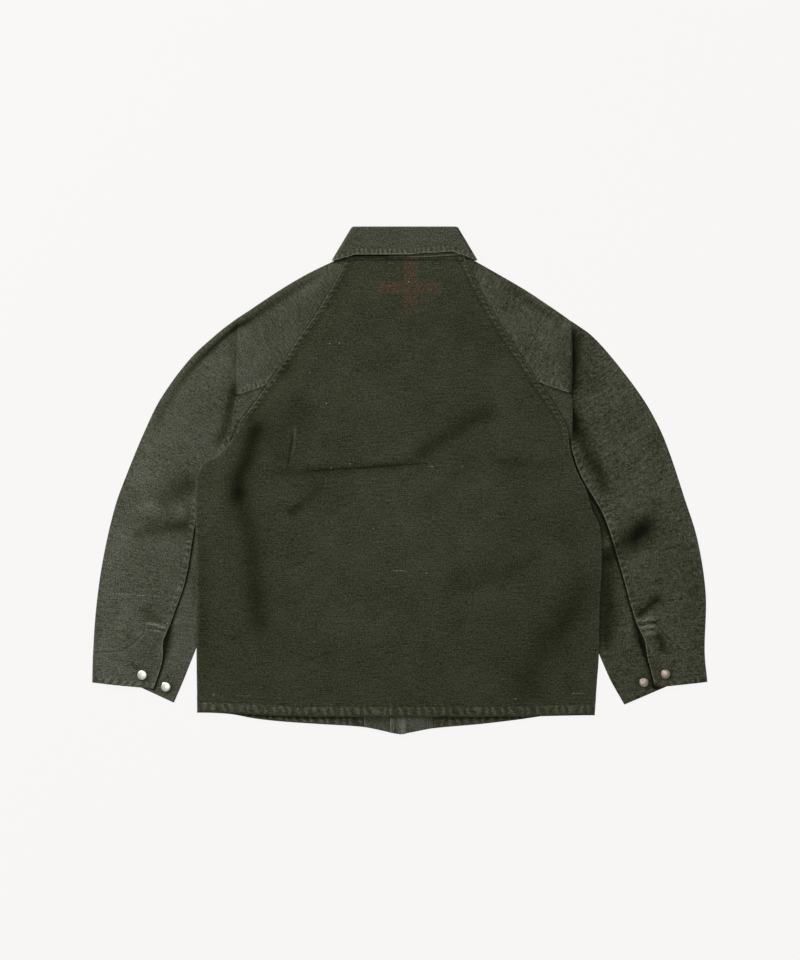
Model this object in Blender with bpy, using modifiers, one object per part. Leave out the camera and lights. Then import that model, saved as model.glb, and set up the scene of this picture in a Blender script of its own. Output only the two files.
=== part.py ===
"""Work jacket in heavy slub canvas with raglan sleeves, laid flat on a surface with its back up.

Metres, +Z up. The origin is on the surface, under the middle of the laid jacket; +Y points to the collar and
+X to the wearer's right sleeve. Every cut piece is a sheet of cloth of its own: a grid of points on the
cloth's middle surface, thickened to the wall. The layers lie on each other in this order, from the surface
up: collar leaf, sleeve underside, fronts, facings, sleeve top, gussets, back, collar fall.
"""

import math

import bmesh
import bpy
from mathutils import Vector
from mathutils.bvhtree import BVHTree

# Cloth and sewing
CLOTH = 0.0012  # wall of the canvas
LAYER = 0.0017  # from the middle of one layer to the middle of the next
FLOOR = CLOTH / 2  # middle of a layer that lies on the surface
FOLD = 0.0012  # radius of a folded edge, at the middle of the cloth
SEAM_GAP = 0.0003
LAP = 0.008  # felled seam allowance, and how far one piece reaches under another
HEM = 0.015
HEM_FOLD = 0.00095

# Body, seen with the back up: edges as points from the neck to the hem
HEM_Y = -0.3545
LEFT_EDGE = [
    (-0.0735, 0.343), (-0.077, 0.337), (-0.102, 0.289), (-0.1295, 0.244), (-0.154, 0.210), (-0.179, 0.170),
    (-0.197, 0.146), (-0.210, 0.127), (-0.230, 0.1), (-0.242, 0.086), (-0.2525, 0.0615), (-0.273, 0.039),
    (-0.292, 0.028), (-0.302, 0.015), (-0.306, -0.004), (-0.3066, -0.047), (-0.305, -0.119),
    (-0.305, -0.257), (-0.304, -0.348), (-0.304, -0.38),
]
RIGHT_EDGE = [
    (0.0925, 0.343), (0.096, 0.337), (0.121, 0.287), (0.147, 0.241), (0.1725, 0.201), (0.205, 0.1525),
    (0.2095, 0.146), (0.241, 0.098), (0.250, 0.080), (0.2535, 0.058), (0.257, 0.041), (0.262, 0.024),
    (0.270, 0.005), (0.279, -0.012), (0.288, -0.042), (0.300, -0.0695), (0.303, -0.119), (0.300, -0.188),
    (0.2985, -0.265), (0.296, -0.300), (0.2925, -0.3515), (0.291, -0.38),
]
UNDERARM_SPANS = [(0.1, -0.01, 8), (-0.01, -0.11, 4)]
BACK_SPANS = [(0.343, 0.1, 10), *UNDERARM_SPANS, (-0.11, -0.31, 6), (-0.31, -0.343, 1), (-0.343, HEM_Y, 1)]
FRONT_SPANS = [(0.333, 0.1, 7), *UNDERARM_SPANS, (-0.11, -0.29, 3), (-0.29, -0.348, 2)]
BACK_ACROSS = 11
EDGE_FLAT = (0.0, 0.0011, 0.0023)  # the back's first points in from its edge, where it lies flat
EDGE_TURNED = (CLOTH / 2, CLOTH / 2, 0.00085)  # and where the edge is turned down to the fronts
EDGE_ROUNDING = (0.0012, 0.0004)
EDGE_TO_PANEL = (0.0045, 0.014, 0.027, 0.048)
HEM_RISE = (0.0065, 0.0025)  # the back's hem curves up at its left and right ends
TURN_STEPS = 4

# Height of the back's edge and of the fronts' edge over the surface, from the neck to the hem
BACK_EDGE_HEIGHT = [
    (0.343, 0.00575), (0.284, 0.0062), (0.239, 0.0068), (0.205, 0.0074), (0.148, 0.00875), (0.12, 0.00875),
    (0.094, 0.0086), (0.06, 0.0084), (-0.055, 0.0084), (-0.105, 0.0070), (-0.262, 0.0069), (-0.30, 0.0064),
]
FRONT_EDGE_RISE = [
    (0.19, 0.0), (0.15, 0.0017), (0.11, 0.0038), (0.085, 0.0047), (0.062, 0.0052), (0.042, 0.0057),
    (-0.055, 0.0057), (-0.105, 0.0044), (-0.262, 0.0044), (-0.30, 0.0),
]
SIDE_RAMP = (0.022, 0.050)  # a front comes down to the surface between these distances from its edge
SIDE_SCALE = [(0.30, 0.45), (0.15, 0.55), (0.045, 0.6), (0.0, 1.0)]
LEFT_FRONT_INSET = [(0.19, SEAM_GAP), (0.13, 0.011), (0.095, 0.011), (0.05, 0.0024)]
RIGHT_FRONT_INSET = [(0.19, SEAM_GAP), (0.13, 0.012), (0.062, 0.012), (0.04, 0.0024)]
LEFT_TURN_DOWN = (0.090, 0.070)  # where the back's side edges begin to turn down to the fronts
RIGHT_TURN_DOWN = (0.060, 0.042)
DEEPEST_TURN = 0.0036
MIDDLE_HEIGHT = [
    (0.335, 0.00575), (0.275, 0.0093), (0.24, 0.0093), (0.2, 0.008), (-0.3, 0.008), (-0.34, 0.0097),
]
FLANK_HEIGHT = 0.0066
MIDDLE_X = 0.008  # the line of the neck's middle

# Fronts and facings
FRONT_UNDER_EDGE = 0.022  # the left front's edge, which lies underneath
FRONT_OVER_EDGE = -0.016  # the right front's edge, which laps over it
FRONT_RAMP = (0.030, 0.044)  # where the right front climbs over the left one
LUMP_X = 0.003  # the lowest point of the fronts' lower edge
FACING_LEFT_EDGE = -0.054
FACING_RIGHT_EDGE = 0.050
FRONT_HEM = [
    (-0.304, -0.348), (-0.254, -0.351), (-0.218, -0.3575), (-0.178, -0.362), (-0.120, -0.366),
    (-0.054, -0.3705), (-0.012, -0.379), (0.003, -0.381), (0.012, -0.379), (0.049, -0.3725), (0.120, -0.366),
    (0.172, -0.360), (0.237, -0.3515), (0.292, -0.352),
]
FRONT_NECK_MIDDLE = 0.268
FRONT_NECK_RISE = 0.065
NECK_HALF = 0.083

# Collar
COLLAR_TOP = 0.381
COLLAR_MIDDLE_Z = 0.0053
FALL_HALF_HEIGHT = 0.0047
COLLAR_ROLL = 0.0012
STAND_CLEAR = 0.004
COLLAR_LEFT = [(-0.073, 0.379), (-0.1025, 0.330)]
COLLAR_RIGHT = [(0.088, 0.379), (0.116, 0.332)]
FALL_EDGE_BACK = [(0.0, 0.3305), (0.06, 0.3345), (0.13, 0.339), (0.5, 0.339), (0.7, 0.342), (0.87, 0.3435),
                  (0.94, 0.338), (1.0, 0.332)]
LEAF_EDGE = [(0.0, 0.3305), (0.15, 0.303), (0.3, 0.272), (0.42, 0.250), (0.5, 0.250)]
STAND_EDGE_BACK = 0.335
STAND_EDGE_SIDE = 0.339
FRONT_FOLD_MIDDLE = 0.305

# Sleeves: stations from the neck to the cuff, each with the outer fold, the seam on top with its height,
# and the inner end of the underside
LEFT_OUTER = [
    (-0.0955, 0.331), (-0.136, 0.312), (-0.171, 0.292), (-0.205, 0.270), (-0.228, 0.2545), (-0.238, 0.248),
    (-0.2415, 0.2455), (-0.2455, 0.243), (-0.273, 0.222), (-0.316, 0.182), (-0.359, 0.1235), (-0.383, 0.075),
    (-0.408, 0.015), (-0.428, -0.040), (-0.446, -0.119), (-0.456, -0.190), (-0.461, -0.262), (-0.462, -0.303),
]
LEFT_SEAM = [
    (-0.073, 0.334, 0.0040), (-0.0955, 0.284, 0.0044), (-0.123, 0.239, 0.0050), (-0.1475, 0.205, 0.0056),
    (-0.176, 0.163, 0.0065), (-0.190, 0.149, 0.0070), (-0.2405, 0.1295, 0.0070), (-0.246, 0.128, 0.0047),
    (-0.246, 0.112, 0.0047), (-0.247, 0.097, 0.0047), (-0.250, 0.076, 0.0047), (-0.262, 0.042, 0.0047),
    (-0.297, -0.012, 0.0047), (-0.3085, -0.072, 0.0047), (-0.322, -0.150, 0.0047), (-0.345, -0.218, 0.0047),
    (-0.358, -0.277, 0.0047), (-0.3695, -0.312, 0.0047),
]
LEFT_UNDER = [
    (-0.080, 0.331), (-0.105, 0.284), (-0.132, 0.240), (-0.1575, 0.205), (-0.182, 0.165), (-0.190, 0.132),
    (-0.212, 0.104), (-0.216, 0.098), (-0.222, 0.092), (-0.229, 0.084), (-0.236, 0.070), (-0.252, 0.038),
    (-0.281, -0.012), (-0.291, -0.076), (-0.294, -0.157), (-0.298, -0.225), (-0.319, -0.285), (-0.339, -0.333),
]
RIGHT_OUTER = [
    (0.110, 0.331), (0.155, 0.306), (0.190, 0.2855), (0.224, 0.263), (0.243, 0.250), (0.252, 0.2435),
    (0.256, 0.2405), (0.260, 0.238), (0.288, 0.218), (0.321, 0.182), (0.365, 0.1235), (0.391, 0.077),
    (0.408, 0.034), (0.426, -0.021), (0.447, -0.088), (0.4595, -0.170), (0.458, -0.257), (0.462, -0.302),
]
RIGHT_SEAM = [
    (0.088, 0.335, 0.0040), (0.1145, 0.283, 0.0044), (0.1405, 0.237, 0.0050), (0.166, 0.197, 0.0056),
    (0.193, 0.158, 0.0065), (0.2025, 0.1505, 0.0070), (0.253, 0.1325, 0.0070), (0.2585, 0.131, 0.0047),
    (0.2585, 0.112, 0.0047), (0.258, 0.090, 0.0047), (0.2575, 0.062, 0.0047), (0.260, 0.041, 0.0047),
    (0.274, 0.004, 0.0047), (0.306, -0.052, 0.0047), (0.327, -0.115, 0.0047), (0.3545, -0.213, 0.0047),
    (0.3755, -0.280, 0.0047), (0.383, -0.310, 0.0047),
]
RIGHT_UNDER = [
    (0.094, 0.331), (0.122, 0.284), (0.148, 0.240), (0.170, 0.205), (0.197, 0.165), (0.203, 0.132),
    (0.224, 0.098), (0.229, 0.090), (0.234, 0.080), (0.238, 0.070), (0.241, 0.056), (0.245, 0.036),
    (0.258, 0.000), (0.280, -0.056), (0.290, -0.122), (0.2905, -0.228), (0.312, -0.290), (0.337, -0.336),
]
RAGLAN_END = 4  # station where the raglan seam reaches the gusset
CREST, FOOT = 6, 7  # stations of the shoulder fold's top and foot
TURNED_UNDER = 10  # from this station the underside is folded round to the seam on top
CUFF = 17
ROWS_BETWEEN = [2, 2, 1, 2, 1, 2, 1, 1, 2, 2, 2, 3, 2, 3, 2, 2, 1]
CROWN = [(0, 0.0), (1, 0.0012), (4, 0.0012), (6, 0.0004), (7, -0.0012), (8, 0.0006), (10, 0.0016),
         (15, 0.0018), (17, 0.0008)]
TOP_COLUMNS, UNDER_COLUMNS, TURN_COLUMNS = 9, 4, 4
STUB = 0.001  # the least that is left beyond the turn of the underside
CUFF_CURVE = 0.011  # how far the underside's cuff edge curves up inside the sleeve
VENT = (15, 0.020)  # the vent starts at this station, and the underlap is this wide

# Gussets: corners outer top, inner top, inner bottom, outer bottom
LEFT_GUSSET = [(-0.2412, 0.1265), (-0.1915, 0.1458), (-0.2310, 0.0985), (-0.2424, 0.1010)]
RIGHT_GUSSET = [(0.2542, 0.1295), (0.2045, 0.1472), (0.2430, 0.0700), (0.2535, 0.0670)]
GUSSET_HEIGHT = 0.0070
GUSSET_ROLL = [(0.0, 0.0014), (0.0003, 0.0006), (0.001, 0.0001), (0.0035, 0.0)]  # distance in and drop

# Buttons
BUTTON_RADIUS = 0.0075
BUTTONS = {
    "button_left_1": (-0.3864, -0.2912),
    "button_left_2": (-0.3512, -0.3092),
    "button_right_1": (0.3983, -0.2897),
    "button_right_2": (0.3662, -0.3026),
}
BUTTON_SIDES = 14

# Largest folds: route, half width, depth (a ridge has a negative depth)
BACK_FOLDS = [
    ([(-0.136, 0.013), (-0.076, 0.019), (0.001, 0.023), (0.031, 0.0245)], 0.010, 0.0012),
    ([(0.026, 0.046), (0.061, 0.065), (0.095, 0.091), (0.150, 0.102)], 0.020, 0.0016),
    ([(-0.207, 0.103), (-0.222, 0.046), (-0.229, 0.013), (-0.221, -0.142)], 0.018, 0.0018),
    ([(0.270, -0.190), (0.240, -0.245), (0.210, -0.292)], 0.022, 0.0014),
    ([(-0.160, -0.022), (-0.120, -0.041)], 0.014, 0.0010),
    ([(-0.262, 0.020), (-0.266, -0.060), (-0.262, -0.150)], 0.016, -0.0014),
]
SLEEVE_FOLDS = [
    ([(-0.385, -0.036), (-0.345, -0.040), (-0.307, -0.044)], 0.014, -0.0022),
    ([(-0.385, -0.062), (-0.345, -0.066), (-0.312, -0.070)], 0.014, 0.0016),
    ([(-0.385, -0.187), (-0.368, -0.221)], 0.014, 0.0010),
    ([(0.396, -0.021), (0.365, -0.062), (0.331, -0.104)], 0.016, 0.0018),
    ([(0.318, 0.045), (0.321, 0.010), (0.314, -0.021)], 0.014, -0.0018),
    ([(0.350, -0.050), (0.372, -0.045), (0.392, -0.075)], 0.012, -0.0014),
]

OLIVE_BACK = (0.030, 0.034, 0.019)
OLIVE_SLEEVE = (0.062, 0.066, 0.046)
OLIVE_COLLAR = (0.052, 0.056, 0.037)
OLIVE_FACING = (0.060, 0.064, 0.044)
PALE_METAL = (0.66, 0.66, 0.62)
PINK_METAL = (0.42, 0.32, 0.27)


def ease(low, high, value):
    """0 at low and 1 at high, eased between them."""
    part = min(max((value - low) / (high - low), 0.0), 1.0)
    return part * part * (3.0 - 2.0 * part)


def level(table, at):
    """The value at a place, eased between the table's (place, value) pairs."""
    for (a, here), (b, there) in zip(table, table[1:]):
        if min(a, b) <= at <= max(a, b):
            return here + (there - here) * ease(a, b, at)
    first, last = table[0], table[-1]
    return first[1] if abs(at - first[0]) < abs(at - last[0]) else last[1]


def smooth_curve(places, values, at):
    """A smooth curve through values at rising or falling places."""
    count = len(places)
    k = next((i for i in range(count - 2) if (places[i + 1] - at) * (places[1] - places[0]) >= 0), count - 2)
    span = places[k + 1] - places[k]
    part = (at - places[k]) / span
    slopes = []
    for i in (k, k + 1):
        before, after = max(i - 1, 0), min(i + 1, count - 1)
        slopes.append((values[after] - values[before]) / (places[after] - places[before]) * span)
    square, cube = part * part, part * part * part
    return (
        values[k] * (2 * cube - 3 * square + 1) + slopes[0] * (cube - 2 * square + part)
        + values[k + 1] * (3 * square - 2 * cube) + slopes[1] * (cube - square)
    )


def edge_x(edge, y):
    """Where an edge of the body is at a distance up the body."""
    return smooth_curve([p[1] for p in edge], [p[0] for p in edge], y)


def edge_lean(edge, y):
    """How much longer a step straight across is than one square to the edge."""
    step = 0.004
    return math.hypot(1.0, (edge_x(edge, y + step) - edge_x(edge, y - step)) / (2 * step))


def hem_y(x):
    return smooth_curve([p[0] for p in FRONT_HEM], [p[1] for p in FRONT_HEM], x)


def station(points, k):
    """A point on the curve through a list of stations, at station number k."""
    i = min(int(k), len(points) - 2)
    part = k - i
    a, b = Vector(points[i]), Vector(points[i + 1])
    before = Vector(points[max(i - 1, 0)])
    after = Vector(points[min(i + 2, len(points) - 1)])
    gap = max((b - a).length, 1e-6)
    leave = (b - before) * gap / max((b - a).length + (a - before).length, 1e-6)
    arrive = (after - a) * gap / max((after - b).length + (b - a).length, 1e-6)
    square, cube = part * part, part * part * part
    return (
        a * (2 * cube - 3 * square + 1) + leave * (cube - 2 * square + part)
        + b * (3 * square - 2 * cube) + arrive * (cube - square)
    )


def fold_depth(folds, x, y):
    """How far the cloth lies below its plain form at a point, from the folds near it."""
    depth = 0.0
    here = Vector((x, y))
    for route, width, deep in folds:
        points = [Vector(p) for p in route]
        lengths = [(b - a).length for a, b in zip(points, points[1:])]
        best, along, done = 1.0, 0.0, 0.0
        for a, b, length in zip(points, points[1:], lengths):
            part = min(max((here - a).dot(b - a) / length**2, 0.0), 1.0)
            far = (here - a.lerp(b, part)).length
            if far < best:
                best, along = far, done + part * length
            done += length
        share = along / done
        depth += deep * math.exp(-(best / width) ** 2) * ease(0.0, 0.2, share) * ease(1.0, 0.8, share)
    return depth


def spread(spans):
    """Places along a line: each span gives its start, its end and its number of steps."""
    places = [spans[0][0]]
    for start, end, steps in spans:
        places += [start + (end - start) * (i + 1) / steps for i in range(steps)]
    return places


def finish_material(name, colour, roughness=0.9, metallic=0.0):
    material = bpy.data.materials.new(name)
    material.use_nodes = True
    shader = material.node_tree.nodes["Principled BSDF"]
    shader.inputs["Base Color"].default_value = (*colour, 1.0)
    shader.inputs["Roughness"].default_value = roughness
    shader.inputs["Metallic"].default_value = metallic
    material.diffuse_color = (*colour, 1.0)
    return material


def add_piece(name, mesh, colour, roughness=0.9, metallic=0.0):
    piece = bpy.data.objects.new(name, mesh)
    mesh.materials.append(finish_material(name, colour, roughness, metallic))
    jacket.objects.link(piece)
    return piece


def sheet(name, rows, colour):
    """A cut piece of cloth: rows of points on its middle surface, thickened to the wall."""
    down, across = len(rows) - 1, len(rows[0]) - 1
    grid = bmesh.new()
    bmesh.ops.create_grid(grid, x_segments=across, y_segments=down, size=0.5)
    for corner in grid.verts:
        row = round((corner.co.y + 0.5) * down)
        column = round((corner.co.x + 0.5) * across)
        corner.co = rows[row][column]
    mesh = bpy.data.meshes.new(name)
    grid.to_mesh(mesh)
    grid.free()
    piece = add_piece(name, mesh, colour)
    wall = piece.modifiers.new("cloth", "SOLIDIFY")
    wall.thickness = CLOTH
    wall.offset = 0.0
    return piece


def leaf_lift(x, y):
    """How far the collar's front leaf, underneath, lifts what lies on it."""
    return LAYER * ease(0.165, 0.247, y) * ease(0.150, 0.112, abs(x - MIDDLE_X))


def front_height(x, y, side, from_edge=math.inf):
    """Middle of a front's cloth; side is -1 for the left front and 1 for the right one."""
    scale = level(SIDE_SCALE, y)
    flat = min(max((SIDE_RAMP[1] * scale - from_edge) / ((SIDE_RAMP[1] - SIDE_RAMP[0]) * scale), 0.0), 1.0)
    over = 0.0
    if side > 0:
        over = 2 * LAYER * min(max((FRONT_RAMP[1] - x) / (FRONT_RAMP[1] - FRONT_RAMP[0]), 0.0), 1.0)
    return FLOOR + leaf_lift(x, y) + level(FRONT_EDGE_RISE, y) * flat + over


def back_height(x, y):
    """Middle of the back's cloth, without the turned edges."""
    from_edge = min(x - edge_x(LEFT_EDGE, y), edge_x(RIGHT_EDGE, y) - x)
    inside = ease(0.024, 0.080, from_edge)
    in_middle = ease(0.150, 0.062, abs(x - 0.010))
    near_neck = ease(0.300, 0.335, y)
    rest = FLANK_HEIGHT + (level(MIDDLE_HEIGHT, y) - FLANK_HEIGHT) * max(in_middle, near_neck)
    height = level(BACK_EDGE_HEIGHT, y) * (1.0 - inside) + rest * inside
    return height - fold_depth(BACK_FOLDS, x, y) * ease(0.010, 0.030, from_edge)


def back_row(y, drop, bend):
    """One row of the back; drop is 1 where its sides turn down, bend shifts the row onto the hem's curve."""
    left, right = edge_x(LEFT_EDGE, y), edge_x(RIGHT_EDGE, y)
    fall = min(level(BACK_EDGE_HEIGHT, y) - FLOOR - level(FRONT_EDGE_RISE, y), DEEPEST_TURN)
    sides = []
    for edge, (start, full) in ((LEFT_EDGE, LEFT_TURN_DOWN), (RIGHT_EDGE, RIGHT_TURN_DOWN)):
        turned, lean = drop * ease(start, full, y), edge_lean(edge, y)
        steps = zip(EDGE_FLAT, EDGE_TURNED, (fall, *EDGE_ROUNDING))
        side = [((flat + (curved - flat) * turned) * lean, down * turned) for flat, curved, down in steps]
        sides.append(side + [(EDGE_TO_PANEL[0] * lean, 0.0)] + [(step, 0.0) for step in EDGE_TO_PANEL[1:-1]])
    inner = EDGE_TO_PANEL[-1]
    row = [(left + out, down) for out, down in sides[0]]
    width = right - left - 2 * inner
    row += [(left + inner + width * i / BACK_ACROSS, 0.0) for i in range(BACK_ACROSS + 1)]
    row += [(right - out, down) for out, down in reversed(sides[1])]
    points = []
    for x, down in row:
        share = (x - left) / (right - left)
        curve = bend * (HEM_RISE[0] * ease(0.28, 0.0, share) + HEM_RISE[1] * ease(0.75, 1.0, share))
        points.append(Vector((x, y + curve, back_height(x, y) - down)))
    return points


def make_back():
    """The back panel, with its sides turned down to the fronts and its hem turned up underneath."""
    rows = []
    for y in spread(BACK_SPANS)[:-1]:
        drop = ease(-0.345, -0.310, y)
        rows.append(back_row(y, drop, ease(-0.300, -0.350, y)))
    last = back_row(HEM_Y + CLOTH / 2 + HEM_FOLD, 0.0, 1.0)
    for step in range(TURN_STEPS + 1):
        angle = math.pi * step / TURN_STEPS
        out, down = HEM_FOLD * math.sin(angle), HEM_FOLD * (1.0 - math.cos(angle))
        rows.append([p + Vector((0.0, -out, -down)) for p in last])
    for up in (HEM / 2, HEM):
        rows.append([Vector((p.x, p.y + up, back_height(p.x, p.y + up) - 2 * HEM_FOLD)) for p in last])
    return sheet("back", rows, OLIVE_BACK)


def neck_y(x):
    """The fronts' neckline."""
    return FRONT_NECK_MIDDLE + FRONT_NECK_RISE * min(abs(x - MIDDLE_X) / NECK_HALF, 1.0) ** 2


def front_columns(y, side):
    """Places across a front at one level, from the side seam to the front edge."""
    edge = LEFT_EDGE if side < 0 else RIGHT_EDGE
    inset = level(LEFT_FRONT_INSET if side < 0 else RIGHT_FRONT_INSET, y)
    start = edge_x(edge, y) - side * inset * edge_lean(edge, y)
    scale = level(SIDE_SCALE, y)
    near = [start - side * d * scale for d in (0.0, 0.012, SIDE_RAMP[0], 0.036, SIDE_RAMP[1])]
    if side < 0:
        end, last = FRONT_UNDER_EDGE, [FRONT_UNDER_EDGE]
    else:
        end, last = FRONT_RAMP[1], [FRONT_RAMP[1], FRONT_RAMP[0], LUMP_X, FRONT_OVER_EDGE]
    middle = [near[-1] + (end - near[-1]) * i / 4 for i in range(1, 4)]
    return start, near + middle + last


def make_front(name, side):
    """A front, face down on the surface, from the neck and raglan seam to its hem."""
    levels = spread(FRONT_SPANS)
    top_places = front_columns(levels[0], side)[1]
    bottom_places = front_columns(levels[-1], side)[1]
    rows = []
    for y in levels:
        start, places = front_columns(y, side)
        down = (levels[0] - y) / (levels[0] - levels[-1])
        row = []
        for x, above, below in zip(places, top_places, bottom_places):
            high = min(neck_y(above), levels[0]) - levels[0]
            low = hem_y(below) + SEAM_GAP - levels[-1]
            along = y + high * (1.0 - down) ** 2 + low * ease(0.75, 1.0, down)
            row.append(Vector((x, along, front_height(x, along, side, abs(x - start)))))
        rows.append(row)
    return sheet(name, rows, OLIVE_SLEEVE)


def make_facing(name, side, start, end, columns):
    """A facing on the inside of a front, from the neck to the hem."""
    levels = spread([(1.0, 0.0, 14)])
    rows = []
    for up in levels:
        row = []
        for column in columns:
            x = start + (end - start) * column
            low, high = hem_y(x) + 2 * SEAM_GAP, neck_y(x) - 0.002
            y = low + (high - low) * up
            row.append(Vector((x, y, front_height(x, y, side) + LAYER)))
        rows.append(row)
    return sheet(name, rows, OLIVE_FACING)


def make_front_hem(name, side, inner):
    """The turned-up hem on the inside of a front, from the side seam to the facing."""
    edge = LEFT_EDGE if side < 0 else RIGHT_EDGE
    outer = edge_x(edge, -0.345) - side * 0.003
    rows = []
    for up in (2 * SEAM_GAP, HEM / 2, HEM):
        row = []
        for i in range(13):
            x = outer + (inner - outer) * i / 12
            row.append(Vector((x, hem_y(x) + up, FLOOR + LAYER)))
        rows.append(row)
    return sheet(name, rows, OLIVE_BACK)


def collar_side(ends, y):
    (x_top, y_top), (x_low, y_low) = ends
    return x_top + (x_low - x_top) * (y_top - y) / (y_top - y_low)


def collar_columns():
    """Places round the flattened collar: share of its width, and the angle round a side fold."""
    front, back = 4, 12
    places = [(0.49 * (front - i) / front, -90.0) for i in range(front)]
    places += [(0.0, -90.0 + 45.0 * i) for i in range(5)]
    places += [((i + 1) / back, 90.0) for i in range(back - 1)]
    places += [(1.0, 90.0 - 45.0 * i) for i in range(5)]
    places += [(1.0 - 0.49 * (i + 1) / front, -90.0) for i in range(front)]
    return places


def make_collar():
    """The collar: a fall folded over its stand along the top, both wrapped round to the front."""
    rows = [[] for _ in range(11)]
    for share, degrees in collar_columns():
        angle = math.radians(degrees)
        behind = 0.5 + 0.5 * math.sin(angle)
        to_side = min(share, 1.0 - share)
        leaf = level(LEAF_EDGE, to_side)
        fall_edge = leaf + (level(FALL_EDGE_BACK, share) - leaf) * behind
        ahead_top = COLLAR_TOP - 0.0015 - (COLLAR_TOP - FRONT_FOLD_MIDDLE) * ease(0.0, 0.5, to_side)
        top = ahead_top + (COLLAR_TOP - ahead_top) * behind
        x_mid = collar_side(COLLAR_LEFT, 0.3) + share * (
            collar_side(COLLAR_RIGHT, 0.3) - collar_side(COLLAR_LEFT, 0.3)
        )
        stand_front = neck_y(x_mid) + STAND_CLEAR if to_side > 0.02 else STAND_EDGE_SIDE
        stand_back = STAND_EDGE_BACK + (STAND_EDGE_SIDE - STAND_EDGE_BACK) * ease(0.1, 0.0, to_side)
        stand_edge = stand_front + (stand_back - stand_front) * behind
        centre_y = top - CLOTH / 2 - COLLAR_ROLL
        path = [(fall_edge + (centre_y - fall_edge) * i / 3, 0.0) for i in range(4)]
        for step in range(1, TURN_STEPS + 1):
            turn = math.pi * step / TURN_STEPS
            path.append((centre_y + COLLAR_ROLL * math.sin(turn), COLLAR_ROLL * (1.0 - math.cos(turn))))
        path += [(centre_y + (stand_edge - centre_y) * i / 3, 2 * COLLAR_ROLL) for i in (1, 2, 3)]
        for row, (y, inset) in zip(rows, path):
            reach = FALL_HALF_HEIGHT - inset
            left = collar_side(COLLAR_LEFT, y) + CLOTH / 2 + FALL_HALF_HEIGHT
            right = collar_side(COLLAR_RIGHT, y) - CLOTH / 2 - FALL_HALF_HEIGHT
            side = -1.0 if share < 0.5 else 1.0
            x = left + (right - left) * share + side * reach * math.cos(angle)
            row.append(Vector((x, y, COLLAR_MIDDLE_Z + reach * math.sin(angle))))
    return sheet("collar", rows, OLIVE_COLLAR)


def sleeve_row(k, outer, seam, under, body_edge, side):
    """One section round a sleeve: over its top to the outer fold, back underneath, and up to the seam."""
    top = station(seam, k)
    fold = station(outer, k)
    end = station(under, k)
    if k <= RAGLAN_END:
        end.x = edge_x(body_edge, end.y) + side * SEAM_GAP
    seam_place = Vector((top.x, top.y))
    inward = (seam_place - fold).normalized()
    start = fold + inward * (FOLD + CLOTH / 2)
    low = FLOOR + leaf_lift(start.x, start.y)
    crown = level(CROWN, k)
    row = []
    for i in range(TOP_COLUMNS):
        share = i / TOP_COLUMNS
        place = seam_place.lerp(start, share)
        height = top.z + (low + 2 * FOLD - top.z) * ease(0.5, 1.0, share)
        height += crown * math.sin(math.pi * share) ** 2
        height -= fold_depth(SLEEVE_FOLDS, place.x, place.y) * ease(0.02, 0.18, share) * ease(1.0, 0.85, share)
        row.append(Vector((place.x, place.y, height)))
    for step in range(TURN_STEPS + 1):
        turn = math.pi * step / TURN_STEPS
        place = start - inward * FOLD * math.sin(turn)
        row.append(Vector((place.x, place.y, low + FOLD + FOLD * math.cos(turn))))
    turned = ease(FOOT + 1, TURNED_UNDER, k)
    outward = (start - end).normalized()
    arc = math.pi * FOLD
    corner = end + outward * ((1.0 - turned) * (arc + STUB) + turned * (FOLD + CLOTH / 2))
    cuff_lift = CUFF_CURVE * ease(CUFF - 1, CUFF, k)
    for i in range(1, UNDER_COLUMNS + 1):
        share = i / UNDER_COLUMNS
        place = start.lerp(corner, share)
        rise = cuff_lift * math.sin(math.pi * share**1.4)
        row.append(Vector((place.x, place.y + rise, FLOOR + leaf_lift(place.x, place.y))))
    base = row[-1]
    for i in range(1, TURN_COLUMNS + 1):
        length = arc * i / TURN_COLUMNS
        if turned < 0.01:
            out, up = length, 0.0
        else:
            radius = FOLD / turned
            turn = math.pi * turned * i / TURN_COLUMNS
            out, up = radius * math.sin(turn), radius * (1.0 - math.cos(turn))
        place = corner - outward * out
        row.append(Vector((place.x, place.y, base.z + up)))
    last = row[-1].copy()
    heading = math.pi * turned
    to_seam, strip = outward, STUB
    if turned > 0.99:
        lap = VENT[1] if k >= VENT[0] else LAP
        ahead = seam_place - inward * lap - Vector((last.x, last.y))
        to_seam = ahead.normalized()
        strip += (ahead.length - STUB) * ease(TURNED_UNDER, TURNED_UNDER + 1, k)
    for share in (0.5, 1.0):
        go = strip * share
        place = Vector((last.x, last.y)) - to_seam * go * math.cos(heading)
        row.append(Vector((place.x, place.y, last.z + go * math.sin(heading))))
    return row


def make_sleeve(name, outer, seam, under, body_edge, side):
    """A one-piece raglan sleeve laid flat: its underarm seam lies on top, near the inner fold."""
    places = [0.0]
    for number, rows_here in enumerate(ROWS_BETWEEN):
        places += [number + (i + 1) / rows_here for i in range(rows_here)]
    rows = [sleeve_row(k, outer, seam, under, body_edge, side) for k in places]
    return sheet(name, rows, OLIVE_SLEEVE)


def make_gusset(name, corners):
    """A small triangle under the arm; its outer edge rolls down to the sleeve."""
    outer_top, inner_top, inner_low, outer_low = [Vector(c) for c in corners]
    rows = []
    for down in (0.0, 0.25, 0.5, 0.75, 1.0):
        outer = outer_top.lerp(outer_low, down)
        inner = inner_top.lerp(inner_low, down)
        across = (inner - outer).normalized()
        row = [Vector((*(outer + across * out), GUSSET_HEIGHT - lower)) for out, lower in GUSSET_ROLL]
        first = outer + across * GUSSET_ROLL[-1][0]
        row += [Vector((*first.lerp(inner, share), GUSSET_HEIGHT)) for share in (0.33, 0.66, 1.0)]
        rows.append(row)
    return sheet(name, rows, OLIVE_SLEEVE)


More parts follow.
